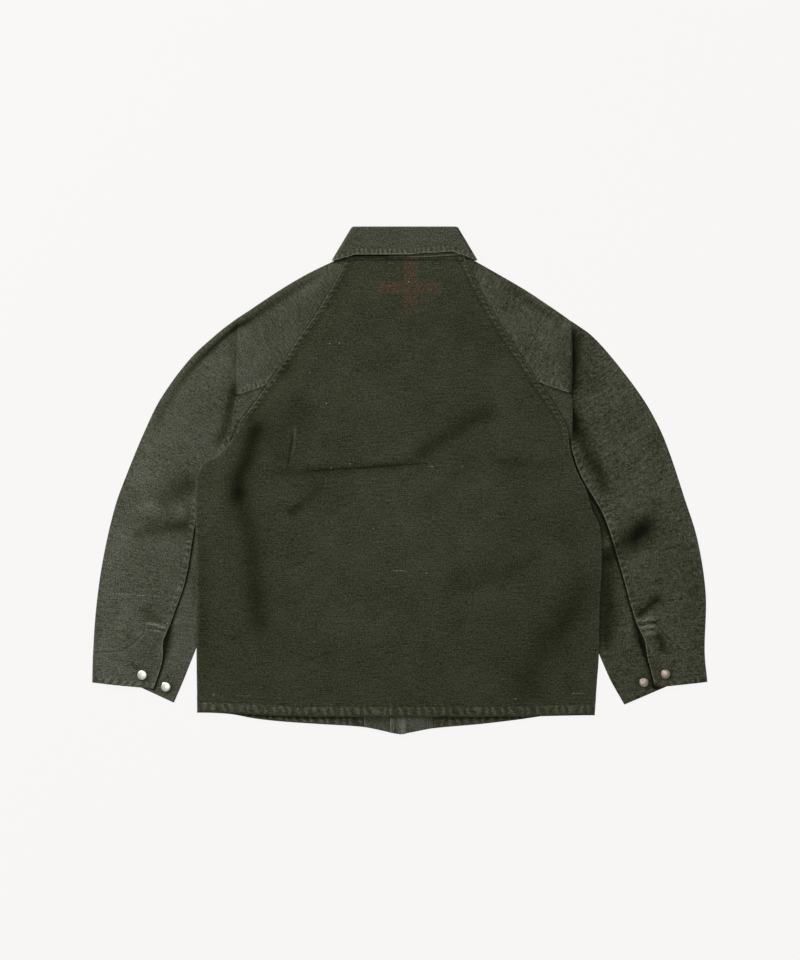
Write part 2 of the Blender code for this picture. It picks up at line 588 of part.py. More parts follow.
def make_button(name, place, sleeve, colour):
    """A tack button: a rimmed cap on a short neck, turned as one profile and seated on the cuff."""
    graph = bpy.context.evaluated_depsgraph_get()
    cloth = BVHTree.FromObject(sleeve, graph)
    highest = 0.0
    for i in range(12):
        for reach in (0.0, 0.0018, 0.0036):
            turn = math.tau * i / 12
            over = Vector((place[0] + reach * math.cos(turn), place[1] + reach * math.sin(turn), 0.05))
            hit = cloth.ray_cast(over, Vector((0.0, 0.0, -1.0)))[0]
            highest = max(highest, hit.z)
    seat = highest + SEAM_GAP
    profile = [
        (0.0, 0.0030), (0.0045, 0.0029), (0.0056, 0.0033), (0.0071, 0.0029), (BUTTON_RADIUS, 0.0020),
        (0.0066, 0.0015), (0.0030, 0.0014), (0.0036, 0.0), (0.0, 0.0),
    ]
    mesh = bpy.data.meshes.new(name)
    outline = bmesh.new()
    corners = [outline.verts.new((x, 0.0, z)) for x, z in profile]
    for a, b in zip(corners, corners[1:]):
        outline.edges.new((a, b))
    outline.to_mesh(mesh)
    outline.free()
    piece = add_piece(name, mesh, colour, 0.35, 1.0)
    turned = piece.modifiers.new("turned", "SCREW")
    turned.axis = "Z"
    turned.steps = BUTTON_SIDES
    turned.render_steps = BUTTON_SIDES
    turned.use_merge_vertices = True
    turned.merge_threshold = 0.0001
    piece.location = (place[0], place[1], seat)
    return piece


for old in list(bpy.data.objects):
    bpy.data.objects.remove(old)
jacket = bpy.data.collections.new("work_jacket")
bpy.context.scene.collection.children.link(jacket)

make_back()
make_front("front_left", -1)
make_front("front_right", 1)
make_facing("facing_left", -1, FACING_LEFT_EDGE, FRONT_UNDER_EDGE - 0.002, (0.0, 0.5, 1.0))
facing_width = FACING_RIGHT_EDGE - FRONT_OVER_EDGE - 0.0015
ramp_shares = [(x - FRONT_OVER_EDGE - 0.0015) / facing_width for x in (LUMP_X, *FRONT_RAMP)]
make_facing("facing_right", 1, FRONT_OVER_EDGE + 0.0015, FACING_RIGHT_EDGE, (0.0, *ramp_shares, 1.0))
make_front_hem("front_hem_left", -1, FACING_LEFT_EDGE - 0.001)
make_front_hem("front_hem_right", 1, FACING_RIGHT_EDGE + 0.001)
make_collar()
sleeve_left = make_sleeve("sleeve_left", LEFT_OUTER, LEFT_SEAM, LEFT_UNDER, LEFT_EDGE, -1)
sleeve_right = make_sleeve("sleeve_right", RIGHT_OUTER, RIGHT_SEAM, RIGHT_UNDER, RIGHT_EDGE, 1)
make_gusset("gusset_left", LEFT_GUSSET)
make_gusset("gusset_right", RIGHT_GUSSET)
for button, spot in BUTTONS.items():
    left = spot[0] < 0
    make_button(button, spot, sleeve_left if left else sleeve_right, PALE_METAL if left else PINK_METAL)
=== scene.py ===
import math

import bmesh
import bpy
import numpy as np
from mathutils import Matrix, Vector
from mathutils.bvhtree import BVHTree


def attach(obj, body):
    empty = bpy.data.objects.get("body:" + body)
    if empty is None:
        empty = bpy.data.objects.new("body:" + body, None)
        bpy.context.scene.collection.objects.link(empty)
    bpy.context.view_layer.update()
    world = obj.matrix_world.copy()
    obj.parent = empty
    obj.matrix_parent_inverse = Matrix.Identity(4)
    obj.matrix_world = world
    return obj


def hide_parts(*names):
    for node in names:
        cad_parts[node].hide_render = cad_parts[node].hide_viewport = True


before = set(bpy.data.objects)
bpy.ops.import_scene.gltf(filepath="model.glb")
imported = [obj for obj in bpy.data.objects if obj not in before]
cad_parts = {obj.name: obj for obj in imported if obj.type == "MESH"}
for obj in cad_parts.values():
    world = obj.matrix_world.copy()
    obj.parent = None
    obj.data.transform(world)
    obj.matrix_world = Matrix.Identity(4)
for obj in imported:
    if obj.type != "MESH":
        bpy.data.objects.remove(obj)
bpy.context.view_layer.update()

# The back: one panel of heavy slub canvas, lapped over both sleeves and felled down along the raglan seams.
# Its sides roll down to the fronts, its hem is turned up and stitched, and wear has faded it unevenly.
# Lengths are in metres; x runs to the wearer's right, y towards the collar, and z up through the back.
CLOTH = 0.0012
THREAD_PITCH = 0.0014
RAGLAN_GATHER, HEM_GATHER = 0.0092, 0.0128
NO_SEAM = 5.0  # in seam widths: too far from a seam for any gathers
LAYER = 0.0017
FLOOR = CLOTH / 2
HEM = 0.015
HEM_FOLD = 0.00095
HEM_SWELL = 0.0146
HEM_Y = -0.3545
HEM_RISE = (0.0065, 0.0025)
LAP = 0.008
LEFT_EDGE = [  # x, y down the raglan seam, then down the side
    (-0.0735, 0.343), (-0.077, 0.337), (-0.102, 0.289), (-0.1295, 0.244), (-0.154, 0.21), (-0.179, 0.17),
    (-0.197, 0.146), (-0.21, 0.127), (-0.23, 0.1), (-0.242, 0.086), (-0.2525, 0.0615), (-0.273, 0.039),
    (-0.292, 0.028), (-0.302, 0.015), (-0.306, -0.004), (-0.3066, -0.047), (-0.305, -0.119),
    (-0.305, -0.257), (-0.304, -0.348), (-0.304, -0.38),
]
RIGHT_EDGE = [
    (0.0925, 0.343), (0.096, 0.337), (0.121, 0.287), (0.147, 0.241), (0.1725, 0.201), (0.205, 0.1525),
    (0.2095, 0.146), (0.241, 0.098), (0.25, 0.08), (0.2535, 0.058), (0.257, 0.041), (0.262, 0.024),
    (0.27, 0.005), (0.279, -0.012), (0.288, -0.042), (0.3, -0.0695), (0.303, -0.119), (0.3, -0.188),
    (0.2985, -0.265), (0.296, -0.3), (0.2925, -0.3515), (0.291, -0.38),
]
BACK_EDGE_HEIGHT = [  # y, z
    (0.343, 0.00575), (0.284, 0.0062), (0.239, 0.0068), (0.205, 0.0074), (0.148, 0.00875), (0.12, 0.00875),
    (0.094, 0.0086), (0.06, 0.0084), (-0.055, 0.0084), (-0.105, 0.007), (-0.262, 0.0069), (-0.3, 0.0064),
]
FRONT_EDGE_RISE = [  # y, how far the fronts' sides come up to meet the back
    (0.19, 0.0), (0.15, 0.0017), (0.11, 0.0038), (0.085, 0.0047), (0.062, 0.0052), (0.042, 0.0057),
    (-0.055, 0.0057), (-0.105, 0.0044), (-0.262, 0.0044), (-0.3, 0.0),
]
MIDDLE_HEIGHT = [  # y, z
    (0.335, 0.00575), (0.275, 0.0093), (0.24, 0.0093), (0.2, 0.008), (-0.3, 0.008), (-0.34, 0.0097),
]
FLANK_HEIGHT = 0.0066
BACK_EDGES = {-1: LEFT_EDGE, 1: RIGHT_EDGE}
TURN_DOWN = {-1: (0.09, 0.07), 1: (0.06, 0.042)}  # y where each side starts to roll down, and where it has
RAGLAN_FOOT = {-1: 0.092, 1: 0.06}  # y at which each raglan seam ends
EDGE_STEPS = (0.0, 0.0011, 0.0023, 0.0045)  # across the rolled edge, from its rim inwards
BACK_CREASES = [  # route, half width, depth; a ridge has a negative depth
    ([(-0.142, 0.012), (-0.105, 0.0165), (-0.052, 0.0195), (0.0, 0.0225), (0.044, 0.026)], 0.01, 0.0012),
    ([(-0.146, 0.012), (-0.105, 0.0175), (-0.078, 0.0185), (-0.052, 0.02), (0.0, 0.0235), (0.042, 0.0265)],
     0.0022, 0.001),
    ([(-0.13, 0.022), (-0.052, 0.0265), (0.02, 0.031)], 0.006, -0.0007),
    ([(0.026, 0.046), (0.061, 0.065), (0.095, 0.091), (0.15, 0.102)], 0.02, 0.0016),
    ([(-0.217, 0.1), (-0.218, 0.076), (-0.225, 0.046), (-0.237, 0.016), (-0.2425, -0.01)], 0.01, 0.0003),
    ([(-0.237, 0.02), (-0.243, -0.014), (-0.241, -0.04), (-0.23, -0.062), (-0.222, -0.105)], 0.013, 0.0016),
    ([(0.113, 0.0385), (0.092, 0.0085), (0.068, -0.017), (0.038, -0.0395)], 0.016, 0.0011),
    ([(0.06, -0.1715), (0.105, -0.1565), (0.158, -0.14), (0.218, -0.107)], 0.018, 0.0011),
    ([(0.27, -0.19), (0.24, -0.245), (0.21, -0.292)], 0.022, 0.0014),
    ([(-0.168, -0.05), (-0.14, -0.03), (-0.118, -0.004)], 0.011, 0.0011),
    ([(-0.264, 0.02), (-0.27, -0.06), (-0.262, -0.15)], 0.014, -0.0014),
    ([(-0.1605, 0.06), (-0.164, 0.04), (-0.1675, 0.02)], 0.0022, 0.0011),
    ([(-0.157, 0.08), (-0.1585, 0.055), (-0.1625, 0.034)], 0.002, -0.0007),
]
BACK_DARK = [  # route, half width, strength of the shade that lies there
    ([(-0.15, 0.012), (-0.105, 0.017), (-0.052, 0.0197), (0.0, 0.0232), (0.05, 0.0268)], 0.002, 0.62),
    ([(-0.215, 0.014), (-0.15, 0.013), (-0.09, 0.016), (-0.03, 0.02), (0.045, 0.027)], 0.009, 0.3),
    ([(-0.2165, 0.104), (-0.217, 0.076), (-0.2225, 0.061), (-0.226, 0.046), (-0.23, 0.031), (-0.237, 0.016),
      (-0.2412, 0.001), (-0.2427, -0.014), (-0.2427, -0.029), (-0.2397, -0.044)], 0.0145, 0.7),
    ([(-0.2427, -0.024), (-0.2397, -0.044), (-0.2322, -0.059), (-0.2232, -0.074), (-0.2215, -0.105),
      (-0.219, -0.15), (-0.208, -0.25)], 0.017, 0.46),
    ([(0.122, 0.031), (0.17, 0.028), (0.215, 0.025), (0.252, 0.023)], 0.008, 0.22),
    ([(0.01, 0.03), (0.045, 0.0505), (0.083, 0.073), (0.113, 0.094), (0.16, 0.103)], 0.014, 0.4),
    ([(0.12, 0.046), (0.092, 0.0085), (0.068, -0.017), (0.038, -0.0395), (0.018, -0.07)], 0.017, 0.2),
    ([(0.05, -0.175), (0.105, -0.1565), (0.158, -0.14), (0.228, -0.103)], 0.015, 0.22),
    ([(0.296, -0.13), (0.262, -0.19), (0.225, -0.238), (0.2, -0.28), (0.176, -0.345)], 0.025, 0.36),
    ([(-0.176, -0.054), (-0.14, -0.03), (-0.112, 0.0)], 0.008, 0.28),
    ([(-0.17, -0.05), (-0.156, -0.044), (-0.142, -0.036)], 0.008, 0.24),
    ([(-0.296, -0.07), (-0.295, -0.18), (-0.295, -0.29)], 0.01, 0.22),
    ([(-0.1595, 0.076), (-0.161, 0.058), (-0.1645, 0.04), (-0.168, 0.018)], 0.0022, 0.6),
]
# Route, half width, strength of a painted highlight on the lit side of a crease or ridge.
BACK_HIGHLIGHTS = [
    ([(-0.157, 0.086), (-0.1585, 0.055), (-0.163, 0.032)], 0.0016, 0.34),
    ([(-0.11, 0.0205), (-0.085, 0.022), (-0.07, 0.0228)], 0.0012, 0.16),
]


def ease(low, high, value):
    """0 at low and 1 at high, eased between them."""
    part = np.clip((value - low) / (high - low), 0.0, 1.0)
    return part * part * (3.0 - 2.0 * part)


def level(table, at):
    """Values at some places, eased between the table's (place, value) pairs."""
    places, values = np.array(sorted(table), float).T
    k = np.clip(np.searchsorted(places, at) - 1, 0, len(places) - 2)
    return values[k] + (values[k + 1] - values[k]) * ease(places[k], places[k + 1], at)


def smooth_curve(points, at):
    """A smooth curve through (place, value) points."""
    places, values = np.array(sorted(points), float).T
    ends = np.arange(len(places))
    before, after = np.maximum(ends - 1, 0), np.minimum(ends + 1, len(places) - 1)
    slopes = (values[after] - values[before]) / (places[after] - places[before])
    k = np.clip(np.searchsorted(places, at) - 1, 0, len(places) - 2)
    span = places[k + 1] - places[k]
    part = (at - places[k]) / span
    square, cube = part**2, part**3
    return (
        values[k] * (2 * cube - 3 * square + 1) + slopes[k] * span * (cube - 2 * square + part)
        + values[k + 1] * (3 * square - 2 * cube) + slopes[k + 1] * span * (cube - square)
    )


def edge_x(edge, y):
    """Where an edge is at a level."""
    return smooth_curve([(p[1], p[0]) for p in edge], y)


def edge_lean(edge, y):
    """How much longer a step straight across is than one square to the edge."""
    return np.hypot(1.0, (edge_x(edge, y + 0.004) - edge_x(edge, y - 0.004)) / 0.008)


def bell(distance, width):
    """1 at no distance, and softly less to either side."""
    return np.exp(-((distance / width) ** 2))


def arch(distance, width, power=0.7):
    """The rounded rise of a sewn strip: 0 at both its edges and 1 along its middle."""
    return np.sin(math.pi * np.clip(distance / width, 0.0, 1.0)) ** power


def nearest_on(start, end, x, y):
    """How far along a straight line the nearest place to each point is, from 0 to 1, and how far away."""
    (ax, ay), (bx, by) = start, end
    ahead = (x - ax) * (bx - ax) + (y - ay) * (by - ay)
    part = np.clip(ahead / ((bx - ax) ** 2 + (by - ay) ** 2), 0.0, 1.0)
    return part, np.hypot(x - ax - (bx - ax) * part, y - ay - (by - ay) * part)


def creases(routes, x, y):
    """How far the cloth lies below its plain form, from the creases near each point."""
    depth = np.zeros(np.broadcast(x, y).shape)
    for route, width, deep in routes:
        points = np.array(route)
        lengths = np.hypot(*(points[1:] - points[:-1]).T)
        best, along, done = np.full(depth.shape, 9.0), np.zeros(depth.shape), 0.0
        for start, end, length in zip(points, points[1:], lengths):
            part, far = nearest_on(start, end, x, y)
            along = np.where(far < best, done + part * length, along)
            best = np.minimum(best, far)
            done += length
        share = along / done
        depth += deep * bell(best, width) * ease(0.0, 0.2, share) * ease(1.0, 0.8, share)
    return depth


def spots(places, x, y):
    """Soft round spots: x, y, reach and strength of each."""
    total = np.zeros(np.broadcast(x, y).shape)
    for at_x, at_y, reach, strength in places:
        total += strength * np.exp(-((x - at_x) ** 2 + (y - at_y) ** 2) / reach**2)
    return total


def puckers(along, pitch, skew=0.0, seed=0.0):
    """The gathered rise and fall of a sewn edge, from 0 to 1, uneven along its length."""
    drift = 0.9 * np.sin(along * 61.0 + seed) + 0.6 * np.sin(along * 137.0 + 2.0 * seed)
    turn = along * math.tau / pitch + skew + drift
    strength = 0.72 + 0.28 * np.sin(along * 83.0 + 3.0 * seed)
    return strength * (0.5 + 0.5 * np.sin(turn + 0.7 * np.sin(turn)))


def ripples(x, y, seed):
    """The soft lumps of a cloth that has been worn, washed and dried."""
    height = np.zeros(np.broadcast(x, y).shape)
    for number in range(8):
        angle, wave = 2.4 * number + seed, 0.026 + 0.013 * number
        turn = (x * math.cos(angle) + y * math.sin(angle)) * math.tau / wave + 1.7 * number * seed
        height += wave * 0.0036 * np.sin(turn + 0.8 * np.sin(y * 21.0 + seed))
    return height + 0.0006


def path_length(points):
    """How far along a line each of its points is."""
    points = np.asarray(points)
    return np.concatenate([[0.0], np.cumsum(np.linalg.norm(points[1:] - points[:-1], axis=1))])


def lifted(net, height, facing=1.0):
    """Moves each point of a net out along its own normal."""
    normal = np.cross(np.gradient(net, axis=0), np.gradient(net, axis=1)) * facing
    normal /= np.maximum(np.linalg.norm(normal, axis=2, keepdims=True), 1e-12)
    return net + normal * height[..., None]


def turned(net, degrees):
    """The place of each point in the cloth's own threads, whose weft runs at this angle."""
    angle = np.radians(degrees)
    across = net[..., 0] * np.cos(angle) + net[..., 1] * np.sin(angle)
    return np.stack([across, net[..., 1] * np.cos(angle) - net[..., 0] * np.sin(angle)], axis=-1)


class Wire:
    """A shader socket that takes part in sums; each sum adds its Math node."""

    def __init__(self, finish, socket):
        self.finish = finish
        self.socket = socket

    def __add__(self, other):
        return self.finish.maths("ADD", self, other)

    def __radd__(self, other):
        return self.finish.maths("ADD", other, self)

    def __sub__(self, other):
        return self.finish.maths("SUBTRACT", self, other)

    def __rsub__(self, other):
        return self.finish.maths("SUBTRACT", other, self)

    def __mul__(self, other):
        return self.finish.maths("MULTIPLY", self, other)

    def __rmul__(self, other):
        return self.finish.maths("MULTIPLY", other, self)

    def clamped(self, low=0.0, high=1.0):
        """Kept between low and high."""
        return self.finish.maths("MAXIMUM", self.finish.maths("MINIMUM", self, high), low)

    def between(self, low, high):
        """0 at low and 1 at high, eased."""
        return self.finish.node("ShaderNodeMapRange", {"interpolation_type": "SMOOTHSTEP"},
                                {"Value": self, "From Min": low, "From Max": high})


class Finish:
    """A material in the making, on Blender's Principled shader."""

    def __init__(self, name, **constants):
        self.material = bpy.data.materials.new(name)
        self.material.use_nodes = True
        self.tree = self.material.node_tree
        self.shader = self.tree.nodes["Principled BSDF"]
        for socket, value in constants.items():
            self.shader.inputs[socket.replace("_", " ")].default_value = value

    def node(self, kind, settings=None, sockets=None, output=0):
        """A node from its type, its settings, which come first, and its sockets' values or links."""
        made = self.tree.nodes.new(kind)
        for setting, value in (settings or {}).items():
            setattr(made, setting, value)
        for socket, value in (sockets or {}).items():
            if isinstance(value, Wire):
                self.tree.links.new(value.socket, made.inputs[socket])
            else:
                made.inputs[socket].default_value = value
        return Wire(self, made.outputs[output])

    def feed(self, **wires):
        """Links values to the shader's own sockets, whose names have _ for each space."""
        for socket, wire in wires.items():
            self.tree.links.new(wire.socket, self.shader.inputs[socket.replace("_", " ")])

    def maths(self, operation, *values):
        return self.node("ShaderNodeMath", {"operation": operation}, dict(enumerate(values)))

    def x_and_y(self, vector):
        """The first two parts of a vector."""
        return tuple(self.node("ShaderNodeSeparateXYZ", {}, {0: vector}, part) for part in (0, 1))

    def noise(self, place, stretch, detail=2.0, seed=0.0):
        """Noise on a place, its features as many to the metre as stretch says."""
        scaled = self.node("ShaderNodeVectorMath", {"operation": "MULTIPLY_ADD"},
                           {0: place, 1: (*stretch, 1.0), 2: (seed, 0.37 * seed, seed)})
        return self.node("ShaderNodeTexNoise", {}, {"Vector": scaled, "Scale": 1.0, "Detail": detail})

    def mix(self, share, first, second):
        return self.node("ShaderNodeMix", {"data_type": "RGBA"}, {0: share, 6: first, 7: second}, 2)

    def shaded(self, colour, amount):
        return self.node("ShaderNodeVectorMath", {"operation": "SCALE"}, {0: colour, "Scale": amount})


def canvas(name, colour, pale, seed, mark=None):
    """Slub canvas: uneven weft over finer warp, faded in patches, gathered and rubbed along its seams, with
    painted light and shade.
    """
    finish = Finish(name, Roughness=0.92, Specular_IOR_Level=0.04, Sheen_Weight=0.02, Sheen_Roughness=0.6)
    threads = finish.node("ShaderNodeUVMap", {"uv_map": "threads"})
    slubs = finish.noise(threads, (42.0, 560.0), 2.0, seed)
    weft = finish.noise(threads, (170.0, 900.0), 2.0, seed + 5.0)
    warp = finish.noise(threads, (820.0, 150.0), 2.0, seed + 9.0)
    speckle = finish.noise(threads, (520.0, 520.0), 3.0, seed + 13.0)
    flecks = finish.noise(threads, (260.0, 480.0), 1.0, seed + 27.0).between(0.66, 0.8)
    blotch = finish.noise(threads, (15.0, 19.0), 4.0, seed + 17.0)
    patch = finish.noise(threads, (5.0, 6.5), 2.0, seed + 23.0)
    wear_and_highlight = finish.node("ShaderNodeAttribute", {"attribute_name": "wear_and_highlight"}, None, 2)
    shade = finish.node("ShaderNodeAttribute", {"attribute_name": "shade"}, None, 2)
    sewn = finish.node("ShaderNodeUVMap", {"uv_map": "sewn"})
    count, across = finish.x_and_y(sewn)
    drift = finish.noise(threads, (48.0, 48.0), 1.0, seed + 31.0)
    turn = (count + across * 0.22 + (drift - 0.5) * 1.5) * math.tau
    gather = finish.maths("SINE", turn) * 0.5 + 0.5
    tick = finish.maths("SINE", turn * 1.31 + 1.0) * 0.5 + 0.5
    band = across.between(0.02, 0.22) * (1.0 - across.between(0.74, 1.04)) * (0.55 + drift * 0.9)
    crest = band * gather * gather
    drawn = tick * tick * tick * across.between(0.62, 0.9) * (1.0 - across.between(1.05, 1.4))
    # Painted shade in the hollows of the seams' gathers.
    shade = shade + band * (1.0 - gather) * 0.25
    uneven = (slubs - 0.5) * 1.2 + (weft - 0.5) * 1.5 + (warp - 0.5) * 1.1 + (speckle - 0.5) * 2.5
    faded = (blotch - 0.5) * 0.62 + (patch - 0.5) * 0.35
    cloth = (*colour, 1.0)
    if mark:
        cloth = finish.mix(mark(finish, threads), cloth, (*MARK_COLOUR, 1.0))
    # Pale wear mixed with painted highlights on the raised edges, the gathers' crests and the stitch ticks.
    rubbed = wear_and_highlight + crest * 0.27 + drawn * 0.2
    nap_and_highlight = (speckle.between(0.5, 0.72) * 0.16 + flecks * 0.36 + rubbed * (0.6 + weft * 0.9)).clamped()
    cloth = finish.mix(nap_and_highlight, cloth, (*pale, 1.0))
    tone = ((1.0 + uneven + faded) * (1.0 - shade)).clamped(0.1, 2.4)
    warm = finish.node("ShaderNodeCombineXYZ", {}, {0: tone, 1: tone, 2: tone * (0.7 + tone * 0.3)})
    dyed = finish.node("ShaderNodeVectorMath", {"operation": "MULTIPLY"}, {0: cloth, 1: warm})
    along_weft, along_warp = finish.x_and_y(threads)
    over = (finish.maths("SINE", along_weft * (math.tau / THREAD_PITCH))
            * finish.maths("SINE", along_warp * (math.tau / THREAD_PITCH)))
    relief = over * 0.5 + slubs * 1.6 + weft + warp * 0.7 + crest * 1.5
    bump = finish.node("ShaderNodeBump", {}, {"Strength": 0.55, "Distance": 0.0005, "Height": relief})
    finish.feed(Base_Color=dyed, Normal=bump)
    return finish.material


def nearest_seam(seams, net):
    """Gathers counted along the nearest seam, and how many of its widths away it is."""
    size = net.shape[:2]
    counts = np.array([np.broadcast_to(count, size) for count, across in seams] + [np.zeros(size)])
    ways = np.array([np.broadcast_to(across, size) for count, across in seams] + [np.full(size, NO_SEAM)])
    near = np.argmin(ways, axis=0)[None]
    return np.stack([np.take_along_axis(values, near, axis=0)[0] for values in (counts, ways)], axis=-1)


def placed(name, data):
    """Puts a finished mesh, lamp or camera in the scene."""
    thing = bpy.data.objects.new(name, data)
    bpy.context.scene.collection.objects.link(thing)
    return thing


def cut_piece(name, node, net, threads, wear_and_highlight, shade, material, seams=()):
    """A cut piece of cloth: a fine grid on its net of points, with its wall, threads, seams, and its wear,
    painted highlights and painted shade.
    """
    down, across = net.shape[0] - 1, net.shape[1] - 1
    grid = bmesh.new()
    bmesh.ops.create_grid(grid, x_segments=across, y_segments=down, size=0.5)
    mesh = bpy.data.meshes.new(name)
    grid.to_mesh(mesh)
    grid.free()
    places = np.empty(len(mesh.vertices) * 3)
    mesh.vertices.foreach_get("co", places)
    places = places.reshape(-1, 3)
    row = np.rint((places[:, 1] + 0.5) * down).astype(int)
    column = np.rint((places[:, 0] + 0.5) * across).astype(int)
    mesh.vertices.foreach_set("co", net[row, column].ravel())
    corner = np.empty(len(mesh.loops), int)
    mesh.loops.foreach_get("vertex_index", corner)
    for layer, values in (("threads", threads), ("sewn", nearest_seam(seams, net))):
        mesh.uv_layers.new(name=layer).data.foreach_set("uv", values[row, column][corner].ravel())
    # Per point: pale wear with painted highlights, and painted shade, which is painted lighter where it is
    # below 0.
    for wear, amount in (("wear_and_highlight", wear_and_highlight), ("shade", shade)):
        values = np.clip(np.broadcast_to(amount, net.shape[:2])[row, column], -0.5, 1.0)
        mesh.attributes.new(wear, "FLOAT", "POINT").data.foreach_set("value", values)
    mesh.shade_smooth()
    mesh.materials.append(material)
    piece = placed(name, mesh)
    wall = piece.modifiers.new("wall", "SOLIDIFY")
    wall.thickness = CLOTH
    wall.offset = 0.0
    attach(piece, "root")
    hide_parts(node)
    return piece


def back_height(x, y):
    """Middle of the back's cloth, without its turned edges."""
    from_edge = np.minimum(x - edge_x(LEFT_EDGE, y), edge_x(RIGHT_EDGE, y) - x)
    inside = ease(0.024, 0.08, from_edge)
    in_middle = np.maximum(ease(0.15, 0.062, abs(x - 0.01)), ease(0.3, 0.335, y))
    rest = FLANK_HEIGHT + (level(MIDDLE_HEIGHT, y) - FLANK_HEIGHT) * in_middle
    height = level(BACK_EDGE_HEIGHT, y) * (1.0 - inside) + rest * inside
    return height - creases(BACK_CREASES, x, y) * ease(0.01, 0.03, from_edge)


near_edge = np.array([0.0, 0.5, 1.1, 1.7, 2.3, 3.2, 4.2, 5.3, 6.4, 7.4, 8.2, 9.2, 10.6, 12.6, 15, 18,
                      21.5, 25.5, 30, 34.5, 39, 43.5, 48]) / 1000
flat_levels = np.concatenate([np.arange(0.343, 0.331, -0.0015), np.arange(0.331, 0.033, -0.0038),
                              np.arange(0.033, 0.006, -0.0013), np.arange(0.006, -0.322, -0.0038),
                              np.arange(-0.322, -0.3528, -0.0014)])
middle_shares = np.concatenate([np.linspace(0.0, 0.095, 11)[1:], np.linspace(0.095, 0.195, 31)[1:],
                                np.linspace(0.195, 1.0, 88)[1:-1]])
turn_y = HEM_Y + CLOTH / 2 + HEM_FOLD
flat_levels = np.append(flat_levels[flat_levels > turn_y + 0.0005], turn_y)


def hem_rise(share):
    """How far the hem curves up towards its ends, at a share of the way across from its left end."""
    return HEM_RISE[0] * ease(0.28, 0.0, share) + HEM_RISE[1] * ease(0.75, 1.0, share)


def back_row(y, drop, bend):
    """One row of the back's net; drop is 1 where its sides turn down, bend shifts it onto the hem's curve."""
    left, right = edge_x(LEFT_EDGE, y), edge_x(RIGHT_EDGE, y)
    fall = min(level(BACK_EDGE_HEIGHT, y) - FLOOR - level(FRONT_EDGE_RISE, y), 0.0036)
    sides = []
    for side, edge in BACK_EDGES.items():
        share = drop * ease(*TURN_DOWN[side], y)
        kept = np.where(near_edge > EDGE_STEPS[-1], near_edge,
                        np.interp(near_edge, EDGE_STEPS, (0.0006, 0.0006, 0.00085, 0.0045)))
        across = near_edge + (kept - near_edge) * share
        lean = 1.0 + (edge_lean(edge, y) - 1.0) * ease(0.048, 0.0045, near_edge)
        down = share * np.interp(near_edge, EDGE_STEPS, (fall, 0.0012, 0.0004, 0.0))
        sides.append((across * lean, down))
    inner = near_edge[-1]
    middle = left + inner + (right - left - 2 * inner) * middle_shares
    x = np.concatenate([left + sides[0][0], middle, (right - sides[1][0])[::-1]])
    down = np.concatenate([sides[0][1], np.zeros(len(middle)), sides[1][1][::-1]])
    share = (x - left) / (right - left)
    return np.stack([x, y + bend * hem_rise(share), back_height(x, np.full(len(x), y)) - down], axis=1)


rows = [back_row(y, ease(-0.345, -0.31, y), ease(-0.3, -0.35, y)) for y in flat_levels]
back_flat_rows = len(rows)
for angle in np.linspace(0.0, math.pi, 9)[1:]:
    rows.append(rows[back_flat_rows - 1]
                - np.array([0.0, HEM_FOLD * math.sin(angle), HEM_FOLD * (1.0 - math.cos(angle))]))
for up in (0.0025, 0.005, 0.0075, 0.01, 0.0125, 0.015):
    rows.append(rows[back_flat_rows - 1] + np.array([0.0, up, -2 * HEM_FOLD]))
back_net = np.array(rows)
x, y = back_net[..., 0], back_net[..., 1]
upper = np.arange(len(rows))[:, None] < back_flat_rows
from_hem = np.where(upper, y - y[back_flat_rows - 1], -1.0)
band = np.zeros(x.shape)
back_wear_and_highlight = np.zeros(x.shape)
back_shade = np.zeros(x.shape)
back_seams = []
for number, (side, edge) in enumerate(BACK_EDGES.items()):
    away = abs(x - edge_x(edge, y)) / edge_lean(edge, y)
    along = -y * 1.16
    seam = ease(RAGLAN_FOOT[side] - 0.012, RAGLAN_FOOT[side] + 0.006, y)
    swell = arch(away - 0.0004, 0.0074)
    gathers = puckers(along, RAGLAN_GATHER, 260.0 * away, 1.3 + number)
    band += seam * swell * (0.0003 + 0.001 * gathers)
    band -= seam * 0.0006 * bell(away - 0.0082, 0.0011)
    # Pale lapped edge of the back: rubbed wear and a painted highlight where the raised edge faces the light.
    back_wear_and_highlight += seam * 0.8 * bell(away, 0.001)
    back_wear_and_highlight += seam * swell * 0.04
    back_seams.append((along / RAGLAN_GATHER + number, away / LAP + NO_SEAM * (1.0 - seam)))
    back_shade += seam * 0.27 * bell(away - 0.0098, 0.0026)
    back_shade += seam * 0.22 * bell(away - 0.0022, 0.0009)
    # Pale rolled sides below the raglan seams: rubbed wear and a painted highlight.
    back_wear_and_highlight += (1.0 - seam) * upper * 0.3 * bell(away, 0.0022)
swell = arch(from_hem, HEM_SWELL, 0.6)
wedges = puckers(x, HEM_GATHER, 170.0 * from_hem, 0.4)
band += swell * (0.0002 + 0.0014 * wedges) * ease(0.3, 0.29, abs(x))
band -= upper * 0.0005 * bell(from_hem - 0.0152, 0.0011)
back_seams.append((x / HEM_GATHER, np.where(from_hem >= 0.0, from_hem / 0.0148, NO_SEAM)))
back_wear_and_highlight += swell * 0.08
back_shade += upper * 0.34 * bell(from_hem - 0.0152, 0.0012)
# Negative shade: the hem band's left half is painted lighter.
back_shade -= swell * 0.14 * ease(0.06, -0.06, x)
back_shade += creases(BACK_DARK, x, y)
back_wear_and_highlight += creases(BACK_HIGHLIGHTS, x, y)
